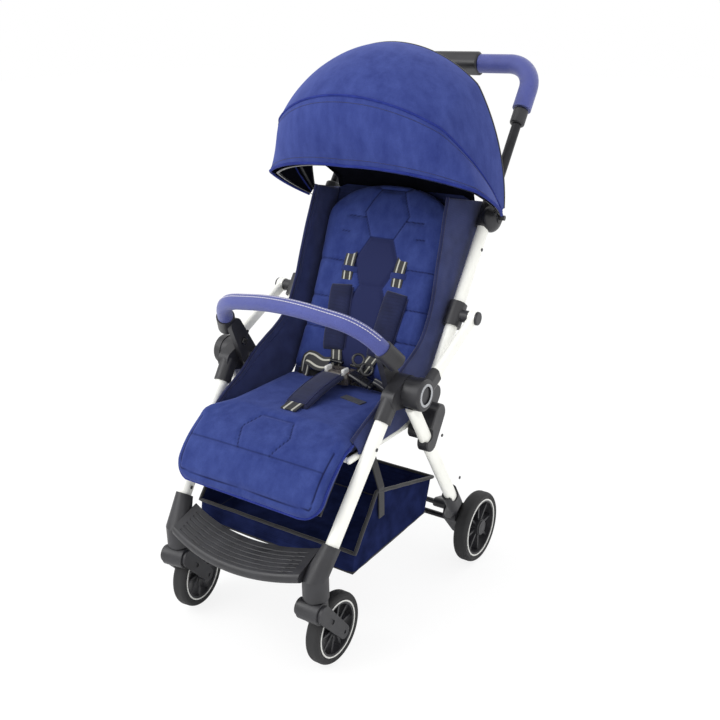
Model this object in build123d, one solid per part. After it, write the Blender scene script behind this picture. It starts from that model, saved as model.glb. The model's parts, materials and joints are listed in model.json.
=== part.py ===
from build123d import *
import math
import os

# A folding baby stroller that faces -Y, in millimetres, with +Z up.
# Right is +X. Pieces are drawn on the right side and mirrored to the left.

# Wheels
rear_wheel_d = 150.0
rear_wheel_w = 30.0
rear_wheel_x = 224.0
rear_axle_y = 95.0
rear_axle_d = 12.0
front_wheel_d = 133.0
front_wheel_w = 28.0
tyre_depth = 13.0
rim_depth = 7.0
wheel_hub_d = 34.0
front_hub_d = 26.0
rear_spokes = 8
front_spokes = 10
spoke_w = 5.0

# Casters
caster_x = 160.0
caster_y = -384.0
caster_trail = 45.0
barrel_lead = 12.0
barrel_z = 136.0
barrel_d = 40.0
barrel_w = 44.0
socket_d = 47.0
socket_low_z = 158.0
socket_high_z = 197.0
stem_d = 12.0
arm_plate = 5.0
arm_pin_d = 8.0
caster_turn_left = 8.0

# Side frame, with every layer's place across the stroller
hub_y = -145.0
hub_z = 463.0
hub_d = 60.0
hub_pin_d = 12.0
front_leg_top_x = 188.0
front_leg_low_x = 172.0
front_leg_low_y = -352.0
front_leg_low_z = 240.0
front_leg_reach = 37.0
leg_wide = 22.0
leg_deep = 28.0
rear_leg_x = 213.0
rear_leg_wide = 18.0
rear_leg_ahead = 20.0
rear_leg_end = 338.0
link_x = 229.0
link_wide = 14.0
link_deep = 24.0
upright_x = 190.0
upright_d = 24.0
upright_wall = 2.35
upright_lean = 36.4
upright_mark_y = -36.0
upright_mark_z = 440.0
foot_z = 364.0
runner_z = 552.0
canopy_z = 720.0
collar_z = 895.0
pivot_d = 10.0
pin_end_x = 228.0
joint_face_x = 211.0
socket_insert = 26.0
sleeve_start = 298.0
sleeve_end = 345.0
boss_low_x = 179.0
brake_bar_d = 11.0

# Handle
handle_tube_d = 19.0
handle_rise = 122.0
handle_bend = 58.0
handle_tail = 330.0
grip_d = 38.0
grip_reach = 66.0
housing_deep = 46.0
housing_high = 40.0
button_wide = 30.0
button_deep = 14.0
button_high = 8.0
button_travel = 4.0

# Seat, back and leg rest
seat_half = 150.0
seat_front_y = -281.0
seat_front_z = 371.0
seat_slope = -2.0
seat_length = 256.0
seat_thick = 34.0
board_thick = 6.0
back_lean = 64.7
back_length = 440.0
back_thick = 25.0
leg_rest_length = 106.0
leg_rest_side = 13.0
leg_rest_thick = 31.0
leg_rest_drop = 48.0
rail_side = 13.9
rail_d = 12.0
rod_d = 10.0
wall_side = 2.4
wall_thick = 5.0
wall_edge = ((66, 748), (30, 648), (6, 575), (-36, 511), (-132, 473), (-178, 440), (-238, 408))

# What lies beside the seat takes its place from the seat's half width
leg_rest_half = seat_half + leg_rest_side
rail_x = seat_half + rail_side
wall_x = seat_half + wall_side

# Harness and buckle
strap_w = 25.0
strap_thick = 2.4
shoulder_pad_x = 55.0
shoulder_pad_y = 150.0
shoulder_pad_w = 46.0
shoulder_pad_l = 140.0
shoulder_pad_t = 13.0
strap_slot_x = 61.0
strap_slot_y = 297.0
crotch_back = 194.0
crotch_y = seat_length - crotch_back
crotch_w = 56.0
crotch_l = 126.0
crotch_t = 13.0
crotch_tilt = 11.5
buckle_w = 62.0
buckle_l = 46.0
buckle_t = 22.0
buckle_lift = 14.0
buckle_button_d = 24.0
buckle_travel = 3.0
buckle_sink = 9.0

# Footrest
footrest_half = 146.0
footrest_deep = 72.0
footrest_thick = 20.0
footrest_bow = 22.0
footrest_rear_y = -348.0
footrest_rear_z = 214.0
footrest_dip = 16.0
footrest_tilt = 17.0
footrest_grooves = 6

# Basket
basket_half = 184.0
basket_wall = 3.0
basket_floor_z = 163.0
basket_front_y = -306.0
basket_rear_y = -46.0
basket_top_y = -22.0
basket_top_z = 231.0
basket_crest_y = -225.0
basket_crest_z = 292.0
basket_lip_y = -298.0
basket_lip_z = 202.0
basket_strap_y = -205.0

# Bumper bar
bumper_d = 30.0
bumper_end_x = 188.0
bumper_end_y = -183.0
bumper_end_z = 538.0
bumper_reach = 103.0
bumper_pitch = 54.0
bumper_shoulder = 73.0
bumper_shoulder_x = 155.0
bumper_bend = 84.0
bumper_crown = 380.0
lug_thick = 11.7
lug_in_x = 165.0
bumper_button_d = 15.0
bumper_travel = 3.0

# Canopy, measured from the pivot at the top of each upright
canopy_seam = 133.0
canopy_hem = 152.0
canopy_back = 98.0
canopy_cloth = 2.5
canopy_start = 24.0
curtain_low = 58.0
bow_thick = 4.0
seam_bow_turn = 2.5
front_bow_turn = 1.6
seam_inset = 12.0
hem_inset = 10.0
eye_thick = 3.0
eye_d = 24.0

# Clearances
run_gap = 0.05
seat_gap = 0.15
side_gap = 0.4

rear_axle = Vector(0, rear_axle_y, rear_wheel_d / 2)
hub = Vector(0, hub_y, hub_z)
lean = math.radians(upright_lean)
upright_dir = Vector(0, math.sin(lean), math.cos(lean))
leg_run = rear_axle - hub
leg_dir = leg_run.normalized()
leg_ahead_dir = Vector(0, leg_dir.Z, -leg_dir.Y)
front_axle_z = front_wheel_d / 2
nodes = {}
stand = (Align.CENTER, Align.CENTER, Align.MIN)


def on_upright(height, x=0.0):
    y = upright_mark_y + (height - upright_mark_z) * math.tan(lean)
    return Vector(x, y, height)


def on_rear_leg(distance, x=0.0, ahead=rear_leg_ahead):
    place = hub + leg_dir * distance + leg_ahead_dir * ahead
    return Vector(x, place.Y, place.Z)


foot = on_upright(foot_z)
runner = on_upright(runner_z)
canopy = on_upright(canopy_z)
collar = on_upright(collar_z)
link_dir = (runner - hub).normalized()


def pair(name, right):
    nodes[name + "_right"] = right
    nodes[name + "_left"] = mirror(right, about=Plane.YZ)


def both(name, right):
    left = mirror(right, about=Plane.YZ)
    nodes[name] = Compound(right.solids() + left.solids())


def rod(start, end, diameter):
    run = end - start
    seat = Plane(origin=start, x_dir=(1, 0, 0) if abs(run.X) < run.length * 0.9 else (0, 1, 0), z_dir=run)
    return extrude(seat * Circle(diameter / 2), run.length)


def cross_rod(place, low_x, high_x, diameter):
    return rod(Vector(low_x, place.Y, place.Z), Vector(high_x, place.Y, place.Z), diameter)


def flat_bar(start, end, wide, deep):
    run = end - start
    seat = Plane(origin=start, x_dir=(1, 0, 0), z_dir=run)
    return extrude(seat * SlotOverall(deep, wide, rotation=90), run.length)


def side_plate(rounds, low_x, high_x):
    # A plate across X whose outline wraps circles given as place and radius.
    edges = []
    for place, radius in rounds:
        edges += (Plane(origin=(place.Y, place.Z, 0)) * Circle(radius)).edges()
    outline = make_hull(edges)
    side = Plane(origin=(low_x, 0, 0), x_dir=(0, 1, 0), z_dir=(1, 0, 0))
    return extrude(side * outline, high_x - low_x)


def side_face(points):
    side = Plane(origin=(0, 0, 0), x_dir=(0, 1, 0), z_dir=(1, 0, 0))
    return side * make_face(Polyline(*points, close=True))


# Wheels, drawn on the X axis with their outer face to +X
def tyre(diameter, width):
    outer = diameter / 2
    inner = outer - tyre_depth
    half = width / 2
    crown = 5.0
    with BuildSketch(Plane.XY) as section:
        with BuildLine():
            Polyline((-half + 2, inner), (half - 2, inner), (half, outer - crown))
            ThreePointArc((half, outer - crown), (half * 0.72, outer - 1.2), (half * 0.3, outer))
            Line((half * 0.3, outer), (-half * 0.3, outer))
            ThreePointArc((-half * 0.3, outer), (-half * 0.72, outer - 1.2), (-half, outer - crown))
            Line((-half, outer - crown), (-half + 2, inner))
        make_face()
    return revolve(section.sketch, axis=Axis.X)


def rim(diameter, width, hub_diameter, hub_half, spokes, bore, blind):
    outer = diameter / 2 - tyre_depth
    inner = outer - rim_depth
    half = width / 2 - 2
    band = Circle(outer) - Circle(inner)
    ring = Plane.YZ.offset(-half) * band
    wheel = extrude(ring, 2 * half)
    core = Plane.YZ.offset(-hub_half) * Circle(hub_diameter / 2)
    wheel += fillet(extrude(core, 2 * hub_half).edges(), 2.0)
    middle = (inner + hub_diameter / 2) / 2
    length = inner - hub_diameter / 2 + 4
    for turn in range(spokes):
        spoke = Pos(0, middle, 0) * Box(half * 1.1, length, spoke_w)
        wheel += Rot(360.0 * turn / spokes, 0, 0) * spoke
    hole = Plane.YZ.offset(-hub_half - 1) * Circle(bore / 2)
    depth = hub_half * 2 + 2 - blind
    return wheel - extrude(hole, depth)


def rear_wheels():
    place = Pos(rear_wheel_x, rear_axle.Y, rear_axle.Z)
    pair("rear_tyre", place * tyre(rear_wheel_d, rear_wheel_w))
    hub_half = rear_wheel_w / 2 - 1
    blind = 6.0
    bore = rear_axle_d + 2 * run_gap
    wheel = rim(rear_wheel_d, rear_wheel_w, wheel_hub_d, hub_half, rear_spokes, bore, blind)
    pair("rear_rim", place * wheel)


# Front legs, hubs and links
front_leg_top = Vector(front_leg_top_x, hub_y - front_leg_reach, hub_z - 3)
front_leg_low = Vector(front_leg_low_x, front_leg_low_y, front_leg_low_z)
front_leg_dir = (front_leg_low - front_leg_top).normalized()
housing_low_x = front_leg_top_x - leg_wide / 2
housing_high_x = front_leg_top_x + leg_wide / 2 + 2.4
head_low_x = housing_high_x + side_gap
cover_low_x = link_x - link_wide / 2 - 1.8
cover_high_x = link_x + link_wide / 2 + 2


def front_legs():
    end = front_leg_low + front_leg_dir * socket_insert
    pair("front_leg", flat_bar(front_leg_top, end, leg_wide, leg_deep))


def hub_housings():
    body = side_plate([(hub, hub_d / 2), (front_leg_top, 19)], housing_low_x, housing_high_x)
    sleeve_end = front_leg_top + front_leg_dir * 46
    body += flat_bar(front_leg_top, sleeve_end, leg_wide + 4.8, leg_deep + 9)
    wide = leg_wide + 2 * seat_gap
    deep = leg_deep + 2 * seat_gap
    body -= flat_bar(front_leg_top, front_leg_low, wide, deep)
    body -= cross_rod(hub, housing_low_x - 5, housing_high_x + 5, hub_pin_d + 2 * run_gap)
    both("hub_housings", body)


def hub_covers():
    disc = cross_rod(hub, cover_low_x, cover_high_x, hub_d)
    disc = fillet(disc.edges().sort_by(Axis.X)[-1], 5.0)
    start = Vector(link_x, hub_y, hub_z)
    disc += flat_bar(start, start + link_dir * 54, link_wide + 3.6, link_deep + 8)
    disc -= cross_rod(hub, cover_high_x - 3, cover_high_x + 1, hub_d * 0.74)
    disc -= link_bar(2 * seat_gap)
    disc -= cross_rod(hub, cover_low_x - 1, cover_high_x - 5, hub_pin_d + 2 * run_gap)
    both("hub_covers", disc)


def link_bar(spare=0.0):
    start = Vector(link_x, hub_y, hub_z) + link_dir * 24
    end = Vector(link_x, runner.Y, runner.Z)
    return flat_bar(start, end, link_wide + spare, link_deep + spare)


def side_links():
    link = link_bar() + cross_rod(runner, link_x - link_wide / 2, link_x + link_wide / 2, link_deep + 3)
    link -= cross_rod(runner, link_x - link_wide, link_x + link_wide, pivot_d + 2 * run_gap)
    both("side_links", link)


def hub_pins():
    both("hub_pins", cross_rod(hub, lug_in_x - 2, cover_high_x - 5.5, hub_pin_d))


# Front sockets, footrest and casters

def caster_socket():
    top_plane = Plane(origin=front_leg_low - front_leg_dir * 4, x_dir=(1, 0, 0), z_dir=front_leg_dir)
    top = top_plane * SlotOverall(leg_deep + 8, leg_wide + 7, rotation=90)
    waist = Plane(origin=(caster_x, caster_y, socket_high_z)) * Circle(socket_d / 2)
    body = loft([top.face(), waist.face()])
    low = Plane(origin=(caster_x, caster_y, socket_low_z)) * Circle(socket_d / 2)
    body += extrude(low, socket_high_z - socket_low_z)
    end = front_leg_low + front_leg_dir * socket_insert
    start = front_leg_low - front_leg_dir * 20
    body -= flat_bar(start, end, leg_wide + 2 * seat_gap, leg_deep + 2 * seat_gap)
    bore_end = Vector(caster_x, caster_y, socket_high_z - 6)
    body -= rod(Vector(caster_x, caster_y, socket_low_z - 1), bore_end, stem_d + 2 * run_gap)
    return body


def footrest_section(x, back, up):
    # One slice of the tread: a sloped top, a round front lip and a round rear edge.
    deep = footrest_deep
    thick = footrest_thick
    place = Pos(x, footrest_rear_y - back, footrest_rear_z + up) * Rot(footrest_tilt, 0, 0)
    with BuildSketch(Plane.YZ) as section:
        with BuildLine():
            Line((0, 0), (-deep + 8, 0))
            ThreePointArc((-deep + 8, 0), (-deep, -thick * 0.45), (-deep + 10, -thick))
            ThreePointArc((-deep + 10, -thick), (-deep * 0.45, -thick * 0.72), (-4, -thick * 0.55))
            ThreePointArc((-4, -thick * 0.55), (2, -thick * 0.25), (0, 0))
        make_face()
    return (place * section.sketch).face()


def footrest():
    stations = []
    for step in (-1.0, -0.55, 0.0, 0.55, 1.0):
        bow = footrest_bow * (1 - step * step)
        dip = footrest_dip * (step * step)
        stations.append(footrest_section(step * footrest_half, bow, dip))
    tread = loft(stations)
    tilt = math.radians(footrest_tilt)
    for count in range(footrest_grooves):
        inward = 12 + count * (footrest_deep - 26) / (footrest_grooves - 1)
        drop = inward * math.sin(tilt) - 0.6
        y = footrest_rear_y - inward * math.cos(tilt)
        z = footrest_rear_z - drop
        end = footrest_half - 16
        rise = footrest_dip * (end / footrest_half) ** 2
        bow = footrest_bow * (1 - (end / footrest_half) ** 2)
        path = ThreePointArc((-end, y - bow, z + rise), (0, y - footrest_bow, z), (end, y - bow, z + rise))
        ring = Plane(origin=path @ 0, z_dir=path % 0) * Circle(1.7)
        tread -= sweep(ring, path=path)
    return tread


def front_mouldings():
    socket = caster_socket()
    tread = footrest()
    tread -= socket
    tread -= mirror(socket, about=Plane.YZ)
    nodes["footrest"] = max(tread.solids(), key=lambda solid: solid.volume)
    both("caster_sockets", socket)


def caster_parts():
    barrel_y = caster_y - barrel_lead
    barrel = Vector(0, barrel_y, barrel_z)
    axle = Vector(0, caster_y + caster_trail, front_axle_z)
    half = barrel_w / 2
    head = cross_rod(barrel, caster_x - half, caster_x + half, barrel_d)
    head = fillet(head.edges(), 1.5)
    neck_low = Vector(caster_x, caster_y, barrel_z)
    neck_high = Vector(caster_x, caster_y, socket_low_z - side_gap)
    neck = rod(neck_low, neck_high, socket_d - 5)
    neck -= Pos(caster_x, caster_y + caster_trail, front_axle_z) * Rot(0, 90, 0) * Cylinder(
        front_wheel_d / 2 + 3, barrel_w + 8)
    head += neck
    head += rod(neck_low, Vector(caster_x, caster_y, socket_high_z - 8), stem_d)
    head -= cross_rod(barrel, caster_x - half - 1, caster_x + half + 1, pivot_d + 2 * run_gap)
    arm = cross_rod(barrel, caster_x - half - 1, caster_x + half + 1, pivot_d)
    arm += cross_rod(axle, caster_x - half - 1, caster_x + half + 1, arm_pin_d)
    reach = axle - barrel
    slot = barrel + reach * 0.28
    for side in (-1, 1):
        low = caster_x + side * (half + side_gap + arm_plate / 2) - arm_plate / 2
        plate = side_plate([(barrel, 16.0), (axle, 13.0)], low, low + arm_plate)
        face_x = low + arm_plate if side > 0 else low
        plate -= side_plate([(slot, 4.0), (slot + reach * 0.12, 4.0)], face_x - 1.6, face_x + 1.6)
        plate -= cross_rod(axle, face_x - 1.6, face_x + 1.6, 7.0)
        arm += plate
    hub_half = half - 0.6
    place = Pos(caster_x, axle.Y, axle.Z)
    bore = arm_pin_d + 2 * run_gap
    wheel = rim(front_wheel_d, front_wheel_w, front_hub_d, hub_half, front_spokes, bore, 0.0)
    return {
        "caster_head": head,
        "swing_arm": arm,
        "front_tyre": place * tyre(front_wheel_d, front_wheel_w),
        "front_rim": place * wheel,
    }


def casters():
    for name, piece in caster_parts().items():
        nodes[name + "_right"] = piece
        turn = Pos(-caster_x, caster_y, 0) * Rot(0, 0, caster_turn_left) * Pos(caster_x, -caster_y, 0)
        nodes[name + "_left"] = turn * mirror(piece, about=Plane.YZ)


# Rear legs and what they carry
leg_face_x = rear_leg_x - rear_leg_wide / 2
boss_high_x = rear_wheel_x - rear_wheel_w / 2 - 2.0
brake_axis = on_rear_leg(416, 0, -8)


def rear_legs():
    leg = flat_bar(on_rear_leg(14, rear_leg_x), on_rear_leg(rear_leg_end, rear_leg_x), rear_leg_wide, leg_deep)
    leg -= cross_rod(hub, leg_face_x - 5, cover_high_x, hub_d + 1.2)
    leg -= leg_tongue(2 * seat_gap)
    leg -= cross_rod(foot, leg_face_x - 5, leg_face_x + 30, pivot_d + 2 * seat_gap)
    pair("rear_leg", leg)


def leg_tongue(spare=0.0):
    wide = rear_leg_wide * 0.55 + spare
    return flat_bar(on_rear_leg(16, rear_leg_x - 1), on_rear_leg(74, rear_leg_x - 1), wide, leg_deep * 0.7 + spare)


def rear_leg_heads():
    disc = cross_rod(hub, head_low_x, cover_low_x - side_gap, hub_d - 3)
    disc += leg_tongue()
    disc -= cross_rod(hub, head_low_x - 1, cover_low_x + 1, hub_pin_d + 2 * run_gap)
    both("rear_leg_heads", disc)


def upright_brackets():
    tip = on_rear_leg(120)
    crest = foot + upright_dir * 40
    low_x = leg_face_x - 0.1
    high_x = rear_leg_x + rear_leg_wide / 2 + 3.5
    body = side_plate([(tip, 19.0), (crest, 19.0)], low_x, high_x)
    body = fillet(body.edges().group_by(Axis.X)[-1], 3.0)
    leg_start = on_rear_leg(40, rear_leg_x)
    leg_end = on_rear_leg(180, rear_leg_x)
    spare = 2 * seat_gap
    body -= flat_bar(leg_start, leg_end, rear_leg_wide + spare, leg_deep + spare)
    window = side_plate([(on_rear_leg(50), 13.0), (on_rear_leg(100), 13.0)], rear_leg_x, high_x + 2)
    body -= window
    body = max(body.solids(), key=lambda solid: solid.volume)
    body += cross_rod(foot, upright_x - upright_d / 2 - 2, rear_leg_x + rear_leg_wide / 2 + 2, pivot_d)
    both("upright_brackets", body)


def rear_housings():
    sleeve = flat_bar(on_rear_leg(sleeve_start, rear_leg_x), on_rear_leg(sleeve_end, rear_leg_x), 25.0, leg_deep + 9)
    mid_x = (boss_low_x + boss_high_x) / 2
    upper = Plane(origin=on_rear_leg(sleeve_end, rear_leg_x), x_dir=(1, 0, 0), z_dir=leg_dir)
    lower = Plane(origin=on_rear_leg(384, mid_x, 12), x_dir=(1, 0, 0), z_dir=leg_dir)
    neck = loft([
        (upper * SlotOverall(leg_deep + 9, 25.0, rotation=90)).face(),
        (lower * SlotOverall(46.0, boss_high_x - boss_low_x, rotation=90)).face(),
    ])
    boss = side_plate([(on_rear_leg(396, 0, 10), 22.0), (rear_axle, 24.0)], boss_low_x, boss_high_x)
    body = sleeve + neck + boss
    spare = 2 * seat_gap
    leg_end = on_rear_leg(rear_leg_end, rear_leg_x)
    body -= flat_bar(on_rear_leg(sleeve_start - 30, rear_leg_x), leg_end, rear_leg_wide + spare, leg_deep + spare)
    high_x = rear_leg_x + rear_leg_wide / 2
    notch = [(on_rear_leg(sleeve_start - 20), 12.0), (on_rear_leg(sleeve_start + 8), 12.0)]
    body -= side_plate(notch, high_x - 2, high_x + 8)
    body -= cross_rod(rear_axle, boss_low_x - 1, boss_high_x + 1, rear_axle_d + 2 * run_gap)
    body -= cross_rod(brake_axis, boss_low_x - 1, boss_low_x + 12, brake_bar_d + 2 * run_gap)
    both("rear_housings", body)


def rear_axle_rod():
    reach = rear_wheel_x + rear_wheel_w / 2 - 8.0
    nodes["rear_axle"] = cross_rod(rear_axle, -reach, reach, rear_axle_d)


def brake_pedal():
    reach = boss_low_x + 11.0
    bar = cross_rod(brake_axis, -reach, reach, brake_bar_d)
    tip = brake_axis + Vector(0, 34, -8)
    low_x = boss_low_x - 46
    pedal = side_plate([(brake_axis, 10.0), (tip, 7.0)], low_x, boss_low_x - 1)
    pedal = fillet(pedal.edges().group_by(Axis.X)[0], 2.0)
    for count in range(3):
        groove = tip + Vector(0, 2 - count * 7, 8.2)
        pedal -= cross_rod(groove, low_x + 6, boss_low_x - 7, 3.0)
    nodes["brake_pedal"] = bar + pedal


# Uprights, runners and canopy joints
def upright_tubes():
    start = Vector(upright_x, foot.Y, foot.Z) + upright_dir * 20
    end = Vector(upright_x, canopy.Y, canopy.Z) + upright_dir * 30
    tube = rod(start, end, upright_d)
    tube -= rod(start + upright_dir * 24, end + upright_dir, upright_d - 2 * upright_wall)
    pair("upright_tube", tube)


def upright_feet():
    low_x = upright_x - upright_d / 2 - 2.2
    high_x = leg_face_x - 0.7
    body = side_plate([(foot, 15.0), (foot + upright_dir * 74, 18.0)], low_x, high_x)
    body = fillet(body.edges().group_by(Axis.X)[0], 2.0)
    start = Vector(upright_x, foot.Y, foot.Z) + upright_dir * 20
    body -= rod(start, start + upright_dir * 120, upright_d + 2 * run_gap)
    body -= cross_rod(foot, low_x - 1, high_x + 1, pivot_d + 2 * run_gap)
    both("upright_feet", body)


def runners():
    travel_gap = 3.0
    start = Vector(upright_x, runner.Y, runner.Z) - upright_dir * 24
    end = start + upright_dir * 48
    wide = upright_d + 8
    body = flat_bar(start, end, wide, upright_d + 2 * travel_gap + 9)
    inner = flat_bar(start - upright_dir, end + upright_dir, upright_d + 2 * side_gap, upright_d + 2 * travel_gap)
    body -= inner
    face_x = upright_x + wide / 2
    body += cross_rod(runner, face_x - 2, link_x - link_wide / 2 - side_gap, link_deep)
    body += cross_rod(runner, face_x - 2, link_x + link_wide / 2 + 3, pivot_d)
    knob = cross_rod(runner, link_x + link_wide / 2 + side_gap, link_x + link_wide / 2 + 5, link_deep + 2)
    body += fillet(knob.edges().sort_by(Axis.X)[-1], 2.0)
    both("runners", body)


def canopy_joints():
    place = Vector(upright_x, canopy.Y, canopy.Z)
    body = rod(place - upright_dir * 26, place + upright_dir * 36, upright_d + 10)
    body = fillet(body.edges(), 3.0)
    body += cross_rod(canopy, upright_x, joint_face_x, 38.0)
    body -= rod(place - upright_dir * 30, place + upright_dir * 30, upright_d + 2 * run_gap)
    body -= rod(place, place + upright_dir * 40, handle_tube_d + 0.6)
    body += cross_rod(canopy, upright_x + upright_d / 2 + 1, pin_end_x, pivot_d)
    both("canopy_joints", body)


# Handle
handle_plane = Plane(origin=collar, x_dir=(1, 0, 0), z_dir=(0, -math.cos(lean), math.sin(lean)))


def in_handle(x, along):
    return collar + upright_dir * along + Vector(x, 0, 0)


def handle_tube():
    points = [
        in_handle(upright_x, -handle_tail),
        in_handle(upright_x, handle_rise),
        in_handle(-upright_x, handle_rise),
        in_handle(-upright_x, -handle_tail),
    ]
    path = FilletPolyline(*points, radius=handle_bend)
    start = Plane(origin=path @ 0, z_dir=path % 0)
    tube = sweep(start * Circle(handle_tube_d / 2), path=path)
    nodes["handle_tube"] = tube


def handle_collars():
    body = rod(in_handle(upright_x, -16), in_handle(upright_x, 18), 30.0)
    body = fillet(body.edges(), 4.0)
    body -= rod(in_handle(upright_x, -20), in_handle(upright_x, 20), handle_tube_d + 2 * run_gap)
    both("handle_collars", body)


def handle_grips():
    points = [in_handle(upright_x, 19), in_handle(upright_x, handle_rise), in_handle(grip_reach, handle_rise)]
    path = FilletPolyline(*points, radius=handle_bend)
    start = Plane(origin=path @ 0, z_dir=path % 0)
    ring = Circle(grip_d / 2) - Circle(handle_tube_d / 2 + run_gap)
    pair("handle_grip", sweep(start * ring, path=path))


def handle_housing():
    reach = grip_reach - 0.4
    side = Plane(origin=in_handle(-reach, handle_rise), x_dir=handle_plane.z_dir, z_dir=(1, 0, 0))
    body = extrude(side * RectangleRounded(housing_deep, housing_high, 14), 2 * reach)
    body = fillet(body.edges().group_by(Axis.X)[0], 4.0)
    body = fillet(body.edges().group_by(Axis.X)[-1], 4.0)
    body -= cross_rod(in_handle(0, handle_rise), -reach - 1, reach + 1, handle_tube_d + 2 * run_gap)
    top = housing_high / 2
    pocket_floor = in_handle(0, handle_rise + top - button_high)
    seat = Plane(origin=pocket_floor, x_dir=(1, 0, 0), z_dir=upright_dir)
    body -= extrude(seat * SlotOverall(button_wide + 2 * run_gap, button_deep + 2 * run_gap), 20)
    nodes["handle_housing"] = body
    floor = in_handle(0, handle_rise + top - button_high + button_travel + side_gap)
    button = Plane(origin=floor, x_dir=(1, 0, 0), z_dir=upright_dir)
    cap = extrude(button * SlotOverall(button_wide, button_deep), button_high)
    crown = cap.faces().sort_by(Axis(origin=tuple(floor), direction=tuple(upright_dir)))[-1]
    nodes["fold_button"] = fillet(crown.edges(), 2.0)


# Soft goods
pad_round = 0.16
pad_steps = (0.0, 0.02, 0.06, 0.11, pad_round)


def crowned_pad(half, length, thick, crown, draw):
    # A cushion: flat base, drawn-in sides, a flat middle and round ends. Length runs along Y.
    steps = list(pad_steps) + [0.5] + [1 - step for step in reversed(pad_steps)]
    slices = []
    for step in steps:
        near = max(0.0, 1 - min(step, 1 - step) / pad_round)
        fall = 1 - math.sqrt(1 - near * near)
        wide = half - draw * math.sin(math.pi * step) - crown * fall
        high = thick - crown * fall
        low_side = high * 0.35
        flat = wide * 0.72
        with BuildSketch(Plane.XZ) as section:
            with BuildLine():
                Polyline((wide - 4, 0), (-wide + 4, 0))
                ThreePointArc((-wide + 4, 0), (-wide, low_side), (-wide + 6, low_side * 1.9))
                ThreePointArc((-wide + 6, low_side * 1.9), (-flat - (wide - flat) * 0.4, high * 0.95), (-flat, high))
                Line((-flat, high), (flat, high))
                ThreePointArc((flat, high), (flat + (wide - flat) * 0.4, high * 0.95), (wide - 6, low_side * 1.9))
                ThreePointArc((wide - 6, low_side * 1.9), (wide, low_side), (wide - 4, 0))
            make_face()
        slices.append((Pos(0, step * length, 0) * section.sketch).face())
    return loft(slices, ruled=True)


seat_place = Pos(0, seat_front_y, seat_front_z) * Rot(seat_slope, 0, 0)
rod_level = board_thick / 2
slope = math.radians(seat_slope)


def on_seat(along, up):
    y = seat_front_y + along * math.cos(slope) - up * math.sin(slope)
    z = seat_front_z + along * math.sin(slope) + up * math.cos(slope)
    return Vector(0, y, z)


leg_rest_rod = on_seat(0, rod_level)
back_rod = on_seat(seat_length, rod_level)
back_place = Pos(0, back_rod.Y, back_rod.Z) * Rot(back_lean, 0, 0)
leg_rest_place = Pos(0, leg_rest_rod.Y, leg_rest_rod.Z) * Rot(leg_rest_drop, 0, 0)
knuckle_d = rod_d + 7
pad_lift = 0.3
seat_top = board_thick + pad_lift + seat_thick
back_top = board_thick / 2 + pad_lift + back_thick


def knuckles(span, length):
    # Two hinge barrels on the X axis, bored to run on a rod.
    barrels = Part()
    for side in (-1, 1):
        barrels += Pos(side * span, 0, 0) * Rot(0, 90, 0) * Cylinder(knuckle_d / 2, length)
    return barrels


def seat_frame():
    frame = cross_rod(leg_rest_rod, -rail_x, rail_x, rod_d) + cross_rod(back_rod, -rail_x, rail_x, rod_d)
    for side in (-1, 1):
        low = leg_rest_rod + Vector(side * rail_x, 0, 0)
        high = back_rod + Vector(side * rail_x, 0, 0)
        rail = rod(low, high, rail_d)
        for end in (low, high):
            rail += Pos(end.X, end.Y, end.Z) * Sphere(rail_d / 2)
        frame += rail
    nodes["seat_frame"] = frame


def seat_parts():
    edge = knuckle_d / 2 + 3
    half = rail_x - rail_d / 2 - side_gap
    sheet = Pos(0, seat_length / 2, board_thick / 2) * Box(2 * half, seat_length - 2 * edge, board_thick)
    nodes["seat_board"] = seat_place * sheet
    pad = crowned_pad(seat_half, seat_length - 2 * edge, seat_thick, 10.0, 3.0)
    nodes["seat_pad"] = seat_place * (Pos(0, edge, board_thick + pad_lift) * pad)


def backrest_parts():
    half = seat_half - 4
    edge = knuckle_d / 2 + 3
    with BuildSketch() as outline:
        with BuildLine():
            Polyline((-half, back_length - 90), (-half, edge), (half, edge), (half, back_length - 90))
            ThreePointArc((half, back_length - 90), (0, back_length), (-half, back_length - 90))
        make_face()
    board = Pos(0, 0, -board_thick / 2) * extrude(outline.sketch, board_thick)
    board += knuckles(90, 40)
    for side in (-1, 1):
        board += Pos(side * 90, edge / 2 + 3, 0) * Box(40, edge, board_thick)
    board -= Rot(0, 90, 0) * Cylinder(rod_d / 2 + run_gap, 400)
    nodes["backrest_board"] = back_place * board
    start = 44.0
    pad = crowned_pad(seat_half, back_length - start, back_thick, 8.0, 6.0)
    with BuildSketch() as arch:
        with BuildLine():
            Polyline((-200, back_length - 95), (-200, 0), (200, 0), (200, back_length - 95))
            Line((200, back_length - 95), (seat_half, back_length - 95))
            ThreePointArc((seat_half, back_length - 95), (0, back_length - 3), (-seat_half, back_length - 95))
            Line((-seat_half, back_length - 95), (-200, back_length - 95))
        make_face()
    pad = Pos(0, start, board_thick / 2 + pad_lift) * pad
    pad = pad & extrude(arch.sketch, 80)
    nodes["backrest_pad"] = back_place * pad


def leg_rest():
    edge = knuckle_d / 2 + 3
    half = leg_rest_half
    sheet = Pos(0, -(leg_rest_length + edge) / 2, 0) * Box(2 * half - 24, leg_rest_length - edge, board_thick)
    sheet += knuckles(100, 44)
    for side in (-1, 1):
        sheet += Pos(side * 100, -edge / 2 - 3, 0) * Box(44, edge, board_thick)
    sheet -= Rot(0, 90, 0) * Cylinder(rod_d / 2 + run_gap, 400)
    nodes["leg_rest_board"] = leg_rest_place * sheet
    start = edge
    pad = crowned_pad(half, leg_rest_length, leg_rest_thick, 9.0, -2.0)
    pad = Pos(0, -leg_rest_length - start, board_thick / 2 + pad_lift) * pad
    nodes["leg_rest_pad"] = leg_rest_place * pad


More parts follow.
